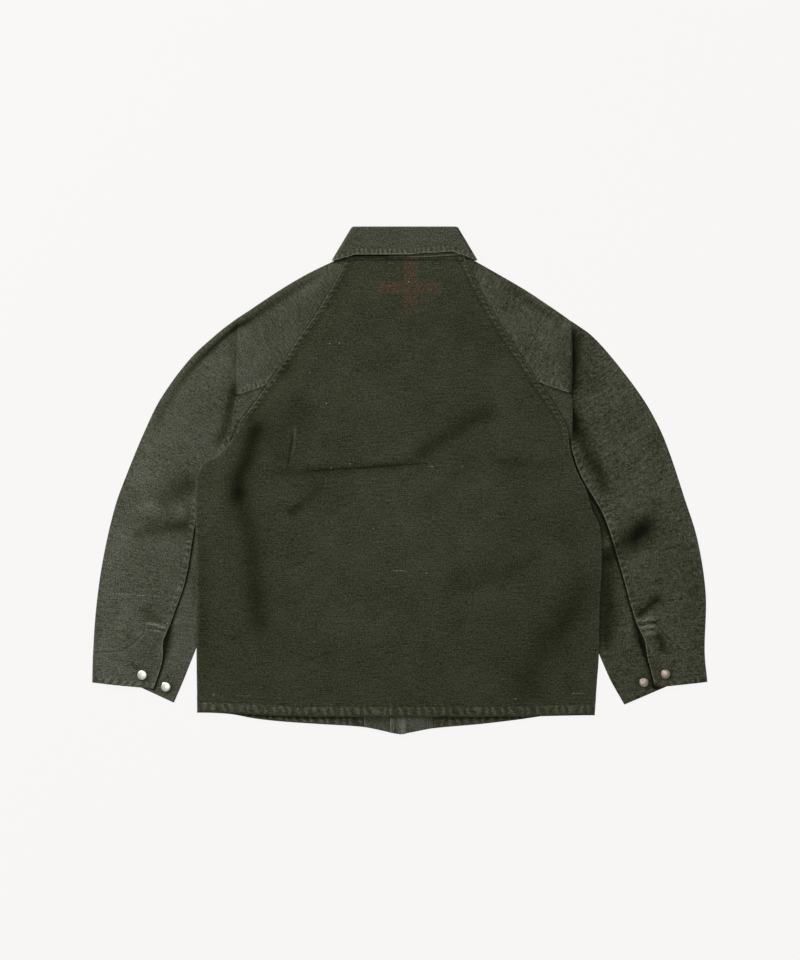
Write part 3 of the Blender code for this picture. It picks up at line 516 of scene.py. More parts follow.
# Soft spots of painted shade; the one below the collar, with a negative strength, is painted lighter.
back_shade += spots([
    (-0.17, 0.168, 0.017, 0.34), (-0.152, 0.104, 0.03, 0.28), (-0.198, 0.08, 0.022, 0.22),
    (-0.18, 0.038, 0.024, 0.18), (-0.066, -0.104, 0.035, 0.1), (0.102, 0.108, 0.05, 0.06),
    (0.205, 0.14, 0.03, 0.1), (0.097, 0.31, 0.03, -0.14), (0.028, 0.034, 0.02, 0.1),
    (-0.24, -0.25, 0.08, 0.04), (-0.2415, -0.031, 0.019, 0.34),
], x, y)
# A painted highlight on the ridge at the lower left, and the middle made a little paler.
back_wear_and_highlight += spots([(-0.262, -0.03, 0.03, 0.06), (0.015, -0.06, 0.16, 0.05)], x, y)
# Painted light along the right side, lifting the shade of the cloth that turns away from the lamp.
from_right = (edge_x(RIGHT_EDGE, y) - x) / edge_lean(RIGHT_EDGE, y)
back_shade -= 0.1 * bell(from_right - 0.014, 0.018) * ease(0.045, 0.01, y) * ease(-0.35, -0.3, y)
from_sides = np.minimum(x - edge_x(LEFT_EDGE, y), edge_x(RIGHT_EDGE, y) - x)
swelling = (ripples(x, y, 0.7) + 0.0022) * ease(0.004, 0.06, from_sides) * ease(0.343, 0.3, y)
back_net = lifted(back_net, band + upper * swelling * ease(0.0, 0.05, from_hem), 1.0)
MARK_COLOUR = (0.07, 0.0455, 0.0285)


def plus_mark(finish, threads):
    """A faded brown plus, dyed flat into the cloth below the collar, its edges uneven."""
    ragged = finish.noise(threads, (160.0, 160.0), 4.0, 31.0)
    x, y = [way + (ragged - 0.5) * 0.01 for way in finish.x_and_y(threads)]
    upright = (x.between(0.0035, 0.008) * (1.0 - x.between(0.0245, 0.0295))
               * y.between(0.249, 0.258))
    crossing = (x.between(-0.0365, -0.029) * (1.0 - x.between(0.06, 0.067))
                * y.between(0.279, 0.2835) * (1.0 - y.between(0.295, 0.2995)))
    faded = finish.noise(threads, (75.0, 110.0), 3.0, 37.0).between(0.25, 0.62)
    return (finish.maths("MAXIMUM", upright, crossing) * (0.25 + faded * 0.6)).clamped()


back_piece = cut_piece(
    "back_panel", "back", back_net, turned(back_net, 0.0), back_wear_and_highlight, back_shade,
    canvas("back_canvas", (0.0352, 0.0392, 0.0214), (0.125, 0.13, 0.088), 1.0, plus_mark),
    back_seams,
)

# The sleeves: each is one raglan piece of the same canvas, folded round with its underarm seam laid on top.
# The cloth folds over itself at the shoulder, and the cuff is faced inside, vented and bar-tacked.
FOLD = 0.0012
STUB = 0.001
LEFT_OUTER = [  # x, y at stations 0 to 17 down the outer fold, and as many down the seam and underneath
    (-0.0955, 0.331), (-0.136, 0.312), (-0.171, 0.292), (-0.205, 0.27), (-0.228, 0.2545), (-0.238, 0.248),
    (-0.2415, 0.2455), (-0.2455, 0.243), (-0.273, 0.222), (-0.316, 0.182), (-0.359, 0.1235), (-0.383, 0.075),
    (-0.408, 0.015), (-0.428, -0.04), (-0.446, -0.119), (-0.456, -0.19), (-0.461, -0.262), (-0.462, -0.303),
]
LEFT_SEAM = [  # x, y, z
    (-0.073, 0.334, 0.004), (-0.0955, 0.284, 0.0044), (-0.123, 0.239, 0.005), (-0.1475, 0.205, 0.0056),
    (-0.176, 0.163, 0.0065), (-0.19, 0.149, 0.007), (-0.2405, 0.1295, 0.007), (-0.246, 0.128, 0.0047),
    (-0.246, 0.112, 0.0047), (-0.247, 0.097, 0.0047), (-0.25, 0.076, 0.0047), (-0.262, 0.042, 0.0047),
    (-0.297, -0.012, 0.0047), (-0.3085, -0.072, 0.0047), (-0.322, -0.15, 0.0047), (-0.345, -0.218, 0.0047),
    (-0.358, -0.277, 0.0047), (-0.3695, -0.312, 0.0047),
]
LEFT_UNDER = [
    (-0.08, 0.331), (-0.105, 0.284), (-0.132, 0.24), (-0.1575, 0.205), (-0.182, 0.165), (-0.19, 0.132),
    (-0.212, 0.104), (-0.216, 0.098), (-0.222, 0.092), (-0.229, 0.084), (-0.236, 0.07), (-0.252, 0.038),
    (-0.281, -0.012), (-0.291, -0.076), (-0.294, -0.157), (-0.298, -0.225), (-0.319, -0.285),
    (-0.339, -0.333),
]
RIGHT_OUTER = [
    (0.11, 0.331), (0.155, 0.306), (0.19, 0.2855), (0.224, 0.263), (0.243, 0.25), (0.252, 0.2435),
    (0.256, 0.2405), (0.26, 0.238), (0.288, 0.218), (0.321, 0.182), (0.365, 0.1235), (0.391, 0.077),
    (0.408, 0.034), (0.426, -0.021), (0.447, -0.088), (0.4595, -0.17), (0.458, -0.257), (0.462, -0.302),
]
RIGHT_SEAM = [
    (0.088, 0.335, 0.004), (0.1145, 0.283, 0.0044), (0.1405, 0.237, 0.005), (0.166, 0.197, 0.0056),
    (0.193, 0.158, 0.0065), (0.2025, 0.1505, 0.007), (0.253, 0.1325, 0.007), (0.2585, 0.131, 0.0047),
    (0.2585, 0.112, 0.0047), (0.258, 0.09, 0.0047), (0.2575, 0.062, 0.0047), (0.26, 0.041, 0.0047),
    (0.274, 0.004, 0.0047), (0.306, -0.052, 0.0047), (0.327, -0.115, 0.0047), (0.3545, -0.213, 0.0047),
    (0.3755, -0.28, 0.0047), (0.383, -0.31, 0.0047),
]
RIGHT_UNDER = [
    (0.094, 0.331), (0.122, 0.284), (0.148, 0.24), (0.17, 0.205), (0.197, 0.165), (0.203, 0.132),
    (0.224, 0.098), (0.229, 0.09), (0.234, 0.08), (0.238, 0.07), (0.241, 0.056), (0.245, 0.036),
    (0.258, 0.0), (0.28, -0.056), (0.29, -0.122), (0.2905, -0.228), (0.312, -0.29), (0.337, -0.336),
]
RAGLAN_END, FOOT, TURNED_UNDER, VENT, CUFF = 4, 7, 10, 15, 17  # numbers of stations
UNDERLAP = 0.02
FELL, CUFF_TURNING = 0.0088, 0.0095
FELL_GATHER, GUSSET_GATHER, CUFF_GATHER = 0.0105, 0.0078, 0.0115
CROWN = [  # station, how far the middle of the top stands above its edges
    (0, 0.0), (1, 0.0012), (4, 0.0012), (6, 0.0004), (7, -0.0012), (8, 0.0006), (10, 0.0016), (15, 0.0018),
    (17, 0.0008),
]
LEFT_CREASES = [
    ([(-0.385, -0.036), (-0.345, -0.04), (-0.307, -0.044)], 0.014, -0.0022),
    ([(-0.385, -0.062), (-0.345, -0.066), (-0.312, -0.07)], 0.014, 0.0016),
    ([(-0.385, -0.187), (-0.368, -0.221)], 0.014, 0.001),
    ([(-0.378, -0.214), (-0.364, -0.2165), (-0.351, -0.2215)], 0.0022, -0.0009),
    ([(-0.378, -0.2185), (-0.365, -0.2215), (-0.35, -0.227)], 0.0022, 0.0007),
    ([(-0.3, 0.215), (-0.262, 0.196), (-0.252, 0.165)], 0.01, -0.0006),
]
RIGHT_CREASES = [
    ([(0.396, -0.021), (0.365, -0.062), (0.331, -0.104)], 0.016, 0.0018),
    ([(0.318, 0.045), (0.321, 0.01), (0.314, -0.021)], 0.014, -0.0018),
    ([(0.35, -0.05), (0.372, -0.045), (0.392, -0.075)], 0.012, -0.0014),
    ([(0.35, -0.205), (0.368, -0.192), (0.396, -0.168)], 0.007, 0.0015),
    ([(0.356, -0.211), (0.37, -0.2085), (0.386, -0.206)], 0.0026, -0.0016),
    ([(0.361, -0.2215), (0.37, -0.2195), (0.382, -0.219)], 0.0028, -0.0015),
    ([(0.366, -0.231), (0.376, -0.229), (0.384, -0.231)], 0.0034, -0.0013),
    ([(0.382, -0.228), (0.392, -0.24), (0.396, -0.262)], 0.007, 0.0012),
]
# Route, half width, strength of painted shade: under the tacks and the vent's edge, in the creases, beside
# the shoulder's fold and under the collar's corner.
LEFT_DARK = [
    ([(-0.382, -0.2178), (-0.365, -0.2212), (-0.348, -0.2275)], 0.002, 0.62),
    ([(-0.388, -0.184), (-0.37, -0.205), (-0.352, -0.216)], 0.01, 0.22),
    ([(-0.358, -0.233), (-0.368, -0.25), (-0.372, -0.272)], 0.005, 0.14),
    ([(-0.41, -0.082), (-0.36, -0.0755), (-0.309, -0.061)], 0.008, 0.32),
    ([(-0.392, -0.06), (-0.35, -0.064), (-0.312, -0.069)], 0.012, 0.1),
    ([(-0.366, -0.045), (-0.345, -0.026), (-0.331, -0.014), (-0.305, 0.006)], 0.018, 0.46),
    ([(-0.318, -0.04), (-0.316, -0.062), (-0.321, -0.09)], 0.007, 0.34),
    ([(-0.249, 0.156), (-0.252, 0.13), (-0.257, 0.103), (-0.263, 0.073), (-0.281, 0.045)], 0.008, 0.48),
    ([(-0.28, -0.06), (-0.296, -0.13), (-0.312, -0.2)], 0.01, 0.2),
    ([(-0.107, 0.3255), (-0.0925, 0.3308), (-0.077, 0.3355)], 0.002, 0.6),
]
# Route, half width, strength of painted highlights on the tacks' pucker ridges, the vent's edge and a lit
# crease ridge.
LEFT_HIGHLIGHTS = [
    ([(-0.385, -0.2135), (-0.366, -0.2165), (-0.349, -0.222)], 0.0016, 0.8),
    ([(-0.372, -0.2235), (-0.358, -0.2262), (-0.347, -0.231)], 0.0014, 0.62),
    ([(-0.348, -0.208), (-0.356, -0.201), (-0.364, -0.193)], 0.0014, 0.25),
    ([(-0.383, -0.218), (-0.386, -0.23), (-0.396, -0.24)], 0.0011, 0.2),
    ([(-0.404, -0.036), (-0.35, -0.041), (-0.308, -0.049)], 0.008, 0.15),
]
# Route, half width, strength of painted shade: beside the shoulder's fold and the back's edge, in the
# creases, around the cuff's tab and under the collar's corner.
RIGHT_DARK = [
    ([(0.262, 0.236), (0.264, 0.214), (0.265, 0.19), (0.263, 0.15), (0.26, 0.12)], 0.0085, 0.34),
    ([(0.254, 0.122), (0.258, 0.098), (0.266, 0.076), (0.276, 0.054), (0.289, 0.031), (0.301, 0.008),
      (0.307, -0.014), (0.308, -0.034)], 0.0135, 0.6),
    ([(0.39, -0.042), (0.366, -0.072), (0.345, -0.092), (0.322, -0.104), (0.304, -0.128)], 0.016, 0.5),
    ([(0.304, -0.09), (0.31, -0.14), (0.311, -0.2), (0.307, -0.268)], 0.0155, 0.64),
    ([(0.35, -0.207), (0.368, -0.194), (0.396, -0.17)], 0.0065, 0.5),
    ([(0.352, -0.216), (0.37, -0.2138), (0.39, -0.2105)], 0.002, 0.6),
    ([(0.358, -0.2262), (0.37, -0.224), (0.384, -0.2235)], 0.002, 0.45),
    ([(0.382, -0.226), (0.393, -0.24), (0.397, -0.264)], 0.0065, 0.44),
    ([(0.36, -0.234), (0.366, -0.248), (0.372, -0.265)], 0.005, 0.26),
    ([(0.376, -0.304), (0.389, -0.312), (0.404, -0.313)], 0.0026, 0.75),
    ([(0.3435, -0.1), (0.366, -0.104), (0.388, -0.086)], 0.006, 0.14),
    ([(0.101, 0.341), (0.1075, 0.3365), (0.112, 0.333), (0.117, 0.33)], 0.0022, 0.9),
]
# Route, half width, strength of painted highlights on the shoulder's fold, the cuff tab's ridges and beside
# the cuff's stitch lines.
RIGHT_HIGHLIGHTS = [
    ([(0.24, 0.232), (0.252, 0.2325), (0.265, 0.229), (0.278, 0.219)], 0.003, 0.16),
    ([(0.352, -0.2118), (0.37, -0.2085), (0.39, -0.205)], 0.0019, 0.95),
    ([(0.358, -0.2218), (0.37, -0.219), (0.384, -0.218)], 0.0019, 0.85),
    ([(0.363, -0.2305), (0.376, -0.228), (0.388, -0.231)], 0.0023, 0.7),
    ([(0.369, -0.24), (0.375, -0.248), (0.379, -0.26)], 0.0024, 0.36),
    ([(0.405, -0.235), (0.415, -0.248), (0.431, -0.256), (0.456, -0.26)], 0.0012, 0.22),
    ([(0.348, -0.22), (0.349, -0.242), (0.345, -0.26), (0.33, -0.285)], 0.0012, 0.3),
]
LEFT_CUFF_LINE = [(-0.458, -0.257), (-0.4185, -0.255), (-0.4, -0.2445), (-0.385, -0.229), (-0.382, -0.215)]
RIGHT_CUFF_LINE = [(0.458, -0.261), (0.432, -0.258), (0.42, -0.251), (0.405, -0.238), (0.379, -0.209)]


def station(points, k):
    """A point on the smooth curve through a list of stations, at station number k."""
    i = min(int(k), len(points) - 2)
    a, b = np.array(points[i]), np.array(points[i + 1])
    before, after = np.array(points[max(i - 1, 0)]), np.array(points[min(i + 2, len(points) - 1)])
    gap, back, ahead = (max(np.linalg.norm(v), 1e-6) for v in (b - a, a - before, after - b))
    gap_before, gap_after = (gap + back if i else gap), (gap + ahead if i < len(points) - 2 else gap)
    leave, arrive = (b - before) * gap / gap_before, (after - a) * gap / gap_after
    part = k - i
    square, cube = part * part, part**3
    return (
        a * (2 * cube - 3 * square + 1) + leave * (cube - 2 * square + part)
        + b * (3 * square - 2 * cube) + arrive * (cube - square)
    )


def leaf_lift(x, y):
    """How far the collar's front leaf, underneath, lifts what lies on it."""
    return LAYER * ease(0.165, 0.247, y) * ease(0.15, 0.112, abs(x - 0.008))


top_shares = np.concatenate([np.linspace(0.0, 0.1, 10)[:-1], np.linspace(0.1, 0.88, 50)[:-1],
                             np.linspace(0.88, 1.0, 12)[:-1]])
under_shares = np.linspace(0.0, 1.0, 17)[1:]


def sleeve_row(k, outer, seam, under, body_edge, side, folds):
    """One section round a sleeve: over its top to the outer fold, back underneath, and up to the seam."""
    top, fold, end = station(seam, k), station(outer, k), station(under, k)
    if k <= RAGLAN_END:
        end[0] = edge_x(body_edge, end[1]) + side * 0.0003
    top[0] += side * 0.0045 * math.exp(-(((k - 15.4) / 0.28) ** 2))
    inward = (top[:2] - fold) / np.linalg.norm(top[:2] - fold)
    start = fold + inward * (FOLD + CLOTH / 2)
    low = FLOOR + leaf_lift(*start)
    place = top[:2] + (start - top[:2]) * top_shares[:, None]
    height = top[2] + (low + 2 * FOLD - top[2]) * ease(0.5, 1.0, top_shares)
    height = height + level(CROWN, k) * np.sin(math.pi * top_shares) ** 2
    fading = ease(0.02, 0.18, top_shares) * ease(1.0, 0.85, top_shares)
    height = height - creases(folds, place[:, 0], place[:, 1]) * fading
    turn = np.linspace(0.0, math.pi, 9)[:, None]
    parts = [np.column_stack([place, height])]
    parts.append(np.hstack([start - inward * FOLD * np.sin(turn), low + FOLD + FOLD * np.cos(turn)]))
    rolled = ease(FOOT + 1, TURNED_UNDER, k)
    outward = (start - end) / np.linalg.norm(start - end)
    arc = math.pi * FOLD
    corner = end + outward * ((1.0 - rolled) * (arc + STUB) + rolled * (FOLD + CLOTH / 2))
    place = start + (corner - start) * under_shares[:, None]
    height = FLOOR + leaf_lift(place[:, 0], place[:, 1])
    place[:, 1] += 0.011 * ease(CUFF - 1, CUFF, k) * np.sin(math.pi * under_shares**1.4)
    parts.append(np.column_stack([place, height]))
    shares = np.linspace(0.0, 1.0, 9)[1:, None]
    if rolled < 0.01:
        out, up = arc * shares, np.zeros(shares.shape)
    else:
        out = FOLD / rolled * np.sin(math.pi * rolled * shares)
        up = FOLD / rolled * (1.0 - np.cos(math.pi * rolled * shares))
    parts.append(np.hstack([corner - outward * out, height[-1] + up]))
    last = parts[-1][-1]
    to_seam, strip = outward, STUB
    if rolled > 0.99:
        ahead = top[:2] - inward * (UNDERLAP if k >= VENT else LAP) - last[:2]
        to_seam = ahead / np.linalg.norm(ahead)
        strip += (np.linalg.norm(ahead) - STUB) * ease(TURNED_UNDER, TURNED_UNDER + 1, k)
    go = strip * np.linspace(0.0, 1.0, 31)[1:, None]
    heading = math.pi * rolled
    parts.append(np.hstack([last[:2] - to_seam * go * math.cos(heading), last[2] + go * math.sin(heading)]))
    return np.vstack(parts)


def line_away(route, x, y):
    """How far each point is from a line."""
    best = np.full(np.broadcast(x, y).shape, 9.0)
    for start, end in zip(route, route[1:]):
        best = np.minimum(best, nearest_on(start, end, x, y)[1])
    return best


sleeve_stations = np.concatenate([
    np.linspace(0, 4, 41)[:-1], np.linspace(4, 5, 9)[:-1], np.linspace(5, 6, 33)[:-1],
    np.linspace(6, 8, 17)[:-1], np.linspace(8, 10, 25)[:-1], np.linspace(10, 14.8, 84)[:-1],
    np.linspace(14.8, 16.8, 66)[:-1], np.linspace(16.8, 17, 12),
])
# Station, and how many degrees the weft is turned there
THREAD_TURN = [(0, 64), (6.2, 64), (6.9, 36), (11, 31), (13, 18), (15, 6), (17, 3)]
# What differs from the left sleeve, -1, to the right one, 1. The shoulder's fold: its distance from the
# middle, y where its shade begins and is full, the shade's reach, and its strength far and near.
SHOULDER = {-1: (0.243, (0.246, 0.232), 0.01, 0.12, 0.1), 1: (0.2575, (0.242, 0.222), 0.024, 0.28, 0.34)}
ROLLED_EDGE = {-1: 1.0, 1: 0.5}
UNDER_ARM_SHADE = {-1: 0.0, 1: 0.58}
GROOVE = {  # station, shade of the groove beside the outer fold
    -1: [(0.4, 0.0), (1.2, 0.34), (3.4, 0.4), (4.6, 0.66), (8.5, 0.7), (9.2, 0.44), (10.2, 0.26),
         (11.5, 0.0)],
    1: [(1.0, 0.0), (1.8, 0.36), (3.0, 0.36), (4.2, 0.0)],
}


def make_sleeve(name, node, outer, seam, under, body_edge, side, folds, dark, highlight_lines, cuff_line,
                colour, pale, marks, seed):
    """A sleeve from its stations; a mark is a soft spot, painted lighter above 0 and with painted shade below
    0, such as the buttons' shadows.
    """
    net = np.array([sleeve_row(k, outer, seam, under, body_edge, side, folds) for k in sleeve_stations])
    x, y = net[..., 0], net[..., 1]
    k = sleeve_stations[:, None]
    column = np.arange(net.shape[1])[None, :]
    on_top = column <= len(top_shares)
    seam_line = net[:, 0, :2]
    outer_line = np.array([station(outer, number)[:2] for number in sleeve_stations])
    width = np.linalg.norm(outer_line - seam_line, axis=1)[:, None]
    shares = np.append(top_shares, np.ones(net.shape[1] - len(top_shares)))[None, :]
    from_seam = shares * width
    from_fold = (1.0 - shares) * width
    along = path_length(seam_line)[:, None]
    from_cuff = (path_length(outer_line)[-1] - path_length(outer_line))[:, None]
    felled = ease(TURNED_UNDER - 0.5, TURNED_UNDER + 0.5, k) * ease(VENT, VENT - 0.25, k)
    vented = ease(VENT - 0.2, VENT + 0.1, k)
    # Relief: the felled seam, the rolled outer fold, the cuff's turned edge, and the facing's stitch line
    swell = arch(from_seam - 0.0002, FELL)
    gathers = puckers(along, FELL_GATHER, 200.0 * from_seam, seed)
    relief = felled * swell * (0.0002 + 0.0009 * gathers) + vented * 0.0005 * ease(0.012, 0.002, from_seam)
    rolled_edge = ease(0.8, 2.4, k) * ease(10.4, 9.0, k) * ROLLED_EDGE[side]
    relief -= 0.001 * rolled_edge * bell(from_fold - 0.011, 0.0045)
    relief += 0.0004 * rolled_edge * bell(from_fold - 0.0045, 0.003)
    cuff_gathers = puckers(from_seam, CUFF_GATHER, 250.0 * from_cuff, seed + 2.0)
    cuff_swell = arch(from_cuff, CUFF_TURNING)
    relief += cuff_swell * (0.0001 + 0.0011 * cuff_gathers)
    away = line_away(cuff_line, x, y)
    relief -= 0.00045 * bell(away, 0.0014)
    relief += 0.0003 * puckers(x + y, 0.011, 0.0, seed) * bell(away - 0.004, 0.0035)
    relief += (ripples(x, y, seed) + 0.0012) * ease(0.0, 0.03, from_seam) * ease(0.0, 0.03, from_fold)
    gusset_seam = ease(4.85, 5.05, k) * ease(6.15, 6.0, k)
    relief += gusset_seam * swell * (0.0002 + 0.0007 * puckers(along, GUSSET_GATHER, 0.0, seed))
    relief *= on_top
    turned_up = len(top_shares) + 9 + len(under_shares) + 6
    under_arm = (k > TURNED_UNDER + 0.8) & (column > turned_up)
    # Wear and painted highlights: pale along the seams' raised edges, beside the cuff's stitch line, on the
    # crests of the folds and in soft spots
    wear_and_highlight = felled * 0.9 * bell(from_seam, 0.0014)
    wear_and_highlight = wear_and_highlight + vented * 0.8 * bell(from_seam, 0.0015)
    wear_and_highlight = wear_and_highlight + gusset_seam * 0.95 * bell(from_seam, 0.0018)
    covered = NO_SEAM * (1.0 - on_top)
    seams = [(along / FELL_GATHER, from_seam / FELL + NO_SEAM * (1.0 - felled) + covered),
             (along / GUSSET_GATHER, from_seam / FELL + NO_SEAM * (1.0 - gusset_seam) + covered),
             (from_seam / CUFF_GATHER, from_cuff / CUFF_TURNING + covered)]
    wear_and_highlight = wear_and_highlight + 0.16 * bell(away - 0.0026, 0.0014)
    wear_and_highlight = wear_and_highlight + spots([spot for spot in marks if spot[3] > 0], x, y) + creases(highlight_lines, x, y)
    wear_and_highlight = wear_and_highlight * on_top
    # Shade: under the back's edge, beside the shoulder's fold and the outer one, and in the creases
    past_back = side * (x - edge_x(body_edge, y)) / edge_lean(body_edge, y)
    foot = RAGLAN_FOOT[side]
    shade = 0.54 * ease(foot - 0.03, foot, y) * bell(past_back - 0.0006, 0.0012)
    fold_x, fold_top, reach, dark_far, dark_near = SHOULDER[side]
    past_fold = side * x - fold_x
    shoulder_fold = (past_fold > 0.0) * ease(*fold_top, y) * ease(0.055, 0.085, y)
    shade = shade + shoulder_fold * dark_far * bell(past_fold, reach)
    shade = shade + shoulder_fold * dark_near * bell(past_fold, 0.0065)
    shade = shade + level(GROOVE[side], k) * bell(from_fold - 0.0112, 0.0056)
    shade = shade + 0.42 * bell(away, 0.0013) + creases(folds, x, y).clip(0.0) * 110.0
    shade = shade * on_top + creases(dark, x, y)
    shade = shade - spots([spot for spot in marks if spot[3] < 0], x, y)
    # Painted shadow on the underlap beside the vent's edge, and painted shade on the right sleeve's underarm
    # strip.
    seam_places = line_away(seam_line[sleeve_stations > TURNED_UNDER], x, y)
    vent_gap = 0.008 * bell(k - 15.42, 0.34) + 0.0036
    shade = shade + under_arm * 0.86 * np.exp(-((seam_places / vent_gap) ** 3))
    shade = shade + under_arm * UNDER_ARM_SHADE[side] * ease(-0.006, -0.03, y) * ease(-0.095, -0.07, y)
    degrees = side * level(THREAD_TURN, k)
    threads = turned(net - np.array([side * 0.31, -0.05, 0.0]), degrees)
    return cut_piece(
        name, node, lifted(net, relief, float(side)), threads, wear_and_highlight, shade,
        canvas(name + "_canvas", colour, pale, seed),
        seams,
    )


# The two sleeves' canvas colours differ as their nap catches the light: painted light sets the left lighter
# and the right darker.
sleeve_left_piece = make_sleeve(
    "sleeve_left_piece", "sleeve_left", LEFT_OUTER, LEFT_SEAM, LEFT_UNDER, LEFT_EDGE, -1, LEFT_CREASES,
    LEFT_DARK, LEFT_HIGHLIGHTS, LEFT_CUFF_LINE, (0.069, 0.0725, 0.0505), (0.19, 0.195, 0.15),
    [(-0.345, -0.045, 0.02, 0.08), (-0.19, 0.245, 0.08, -0.2), (-0.13, 0.28, 0.05, -0.08),
     (-0.3, 0.12, 0.08, -0.12), (-0.42, -0.285, 0.05, 0.04), (-0.3856, -0.2922, 0.0098, -0.55),
     (-0.3504, -0.3102, 0.0098, -0.55), (-0.4227, -0.1985, 0.0022, -0.65), (-0.406, -0.235, 0.0024, -0.55),
     (-0.306, -0.15, 0.02, -0.08), (-0.321, 0.0, 0.03, -0.06), (-0.213, 0.195, 0.02, 0.06),
     (-0.354, -0.238, 0.012, -0.16)], 3.1,
)
sleeve_right_piece = make_sleeve(
    "sleeve_right_piece", "sleeve_right", RIGHT_OUTER, RIGHT_SEAM, RIGHT_UNDER, RIGHT_EDGE, 1, RIGHT_CREASES,
    RIGHT_DARK, RIGHT_HIGHLIGHTS, RIGHT_CUFF_LINE, (0.056, 0.059, 0.037), (0.158, 0.162, 0.118),
    [(0.268, 0.175, 0.034, -0.14), (0.166, 0.258, 0.012, -0.24), (0.302, 0.02, 0.018, -0.1),
     (0.15, 0.275, 0.009, -0.2), (0.32, 0.03, 0.022, 0.04), (0.385, -0.15, 0.09, -0.14),
     (0.34, -0.29, 0.06, -0.12), (0.375, -0.2255, 0.01, 0.22), (0.33, 0.15, 0.06, 0.03),
     (0.366, -0.08, 0.022, -0.26), (0.399, -0.2908, 0.0098, -0.55), (0.3669, -0.3036, 0.0098, -0.55)], 4.6,
)

# The gussets: a small triangle of canvas let in under each arm, between the sleeve, the back and the side.
# The sleeve's edge is felled over its top, and its outer edge rolls down into the sleeve's fold.
GUSSET_HEIGHT = 0.007
LEFT_GUSSET = [(-0.2468, 0.1262), (-0.1915, 0.1479), (-0.244, 0.069), (-0.2545, 0.0625)]
RIGHT_GUSSET = [(0.2592, 0.1296), (0.2045, 0.1492), (0.243, 0.07), (0.259, 0.061)]


def make_gusset(name, node, corners, side, colour, seed):
    """A gusset between its four corners, its outer edge rolled down; side is -1 left and 1 right."""
    outer_top, inner_top, inner_low, outer_low = np.array(corners)
    down = np.linspace(0.0, 1.0, 27)[:, None, None]
    outer = outer_top + (outer_low - outer_top) * down
    inner = inner_top + (inner_low - inner_top) * down
    across = np.concatenate([[0.0, 0.3, 0.6, 1.0, 1.6, 2.4, 3.5], np.linspace(5.0, 48.0, 28)]) / 1000
    reach = np.linalg.norm(inner - outer, axis=2, keepdims=True)
    going = np.where(across < 0.0036, across, 0.0035 + (reach[..., 0] - 0.0035) * (across - 0.0035) / 0.0445)
    place = outer + (inner - outer) / reach * going[..., None]
    height = GUSSET_HEIGHT - np.interp(going, (0.0, 0.001, 0.003, 0.006), (0.0009, 0.0007, 0.0003, 0.0))
    net = np.concatenate([place, height[..., None]], axis=2)
    from_top = down[..., 0] * 0.045
    relief = 0.00035 * puckers(place[..., 0], 0.008, 0.0, seed) * bell(from_top, 0.006)
    relief = relief + ripples(place[..., 0], place[..., 1], seed)
    relief *= ease(0.0, 0.01, from_top) * ease(0.0, 0.008, going)
    shade = 0.6 * bell(from_top, 0.0022) + 0.1 * ease(0.006, 0.0, going)
    past_back = side * (place[..., 0] - edge_x(BACK_EDGES[side], place[..., 1]))
    shade = shade + 0.55 * bell(past_back - 0.001, 0.0022)
    return cut_piece(
        name, node, lifted(net, relief, float(-side)), turned(net, side * 40.0), 0.04, shade,
        canvas(name + "_canvas", colour, (0.15, 0.158, 0.108), seed),
    )


make_gusset("gusset_left_piece", "gusset_left", LEFT_GUSSET, -1, (0.051, 0.0548, 0.0358),
            7.3)
make_gusset("gusset_right_piece", "gusset_right", RIGHT_GUSSET, 1, (0.046, 0.0495, 0.031),
            8.1)

# The fronts: two panels face down on the floor under the back, meeting it at the sides and the sleeves above.
# The left one laps under the right one, so worn it closes left over right. Only their hems show.
SIDE_RAMP = (0.022, 0.05)  # how far in from its side edge each front starts and ends its way down
SIDE_SCALE = [(0.3, 0.45), (0.15, 0.55), (0.045, 0.6), (0.0, 1.0)]  # y, how much of that width is used
FRONT_INSET = {-1: [(0.19, 0.0003), (0.13, 0.011), (0.095, 0.011), (0.05, 0.0024)],
               1: [(0.19, 0.0003), (0.13, 0.012), (0.062, 0.012), (0.04, 0.0024)]}
FRONT_UNDER_EDGE, FRONT_OVER_EDGE = 0.022, -0.016
FRONT_RAMP = (0.03, 0.044)
LUMP_X = 0.003
MIDDLE_X = 0.008
FRONT_HEM = [
    (-0.304, -0.348), (-0.254, -0.351), (-0.218, -0.3575), (-0.178, -0.362), (-0.12, -0.366),
    (-0.054, -0.3705), (-0.012, -0.379), (0.003, -0.381), (0.012, -0.379), (0.049, -0.3725), (0.12, -0.366),
    (0.172, -0.36), (0.237, -0.3515), (0.292, -0.352),
]
INSIDE_PALE = (0.18, 0.185, 0.145)
front_levels = np.concatenate([np.linspace(0.333, 0.1, 36)[:-1], np.linspace(0.1, -0.11, 50)[:-1],
                               np.linspace(-0.11, -0.33, 44)[:-1], np.linspace(-0.33, -0.348, 10)])


def neck_y(x):
    """The hollow of the fronts' neck edge."""
    return 0.268 + 0.065 * np.minimum(abs(x - MIDDLE_X) / 0.083, 1.0) ** 2


def front_height(x, y, side, from_edge=9.0):
    """Middle of a front's cloth: up to the back at its side, and over the other front in the middle."""
    scale = level(SIDE_SCALE, y)
    flat = ((SIDE_RAMP[1] * scale - from_edge) / ((SIDE_RAMP[1] - SIDE_RAMP[0]) * scale)).clip(0.0, 1.0)
    over = 0.0
    if side > 0:
        over = 2 * LAYER * ((FRONT_RAMP[1] - x) / (FRONT_RAMP[1] - FRONT_RAMP[0])).clip(0.0, 1.0)
    return FLOOR + leaf_lift(x, y) + level(FRONT_EDGE_RISE, y) * flat + over


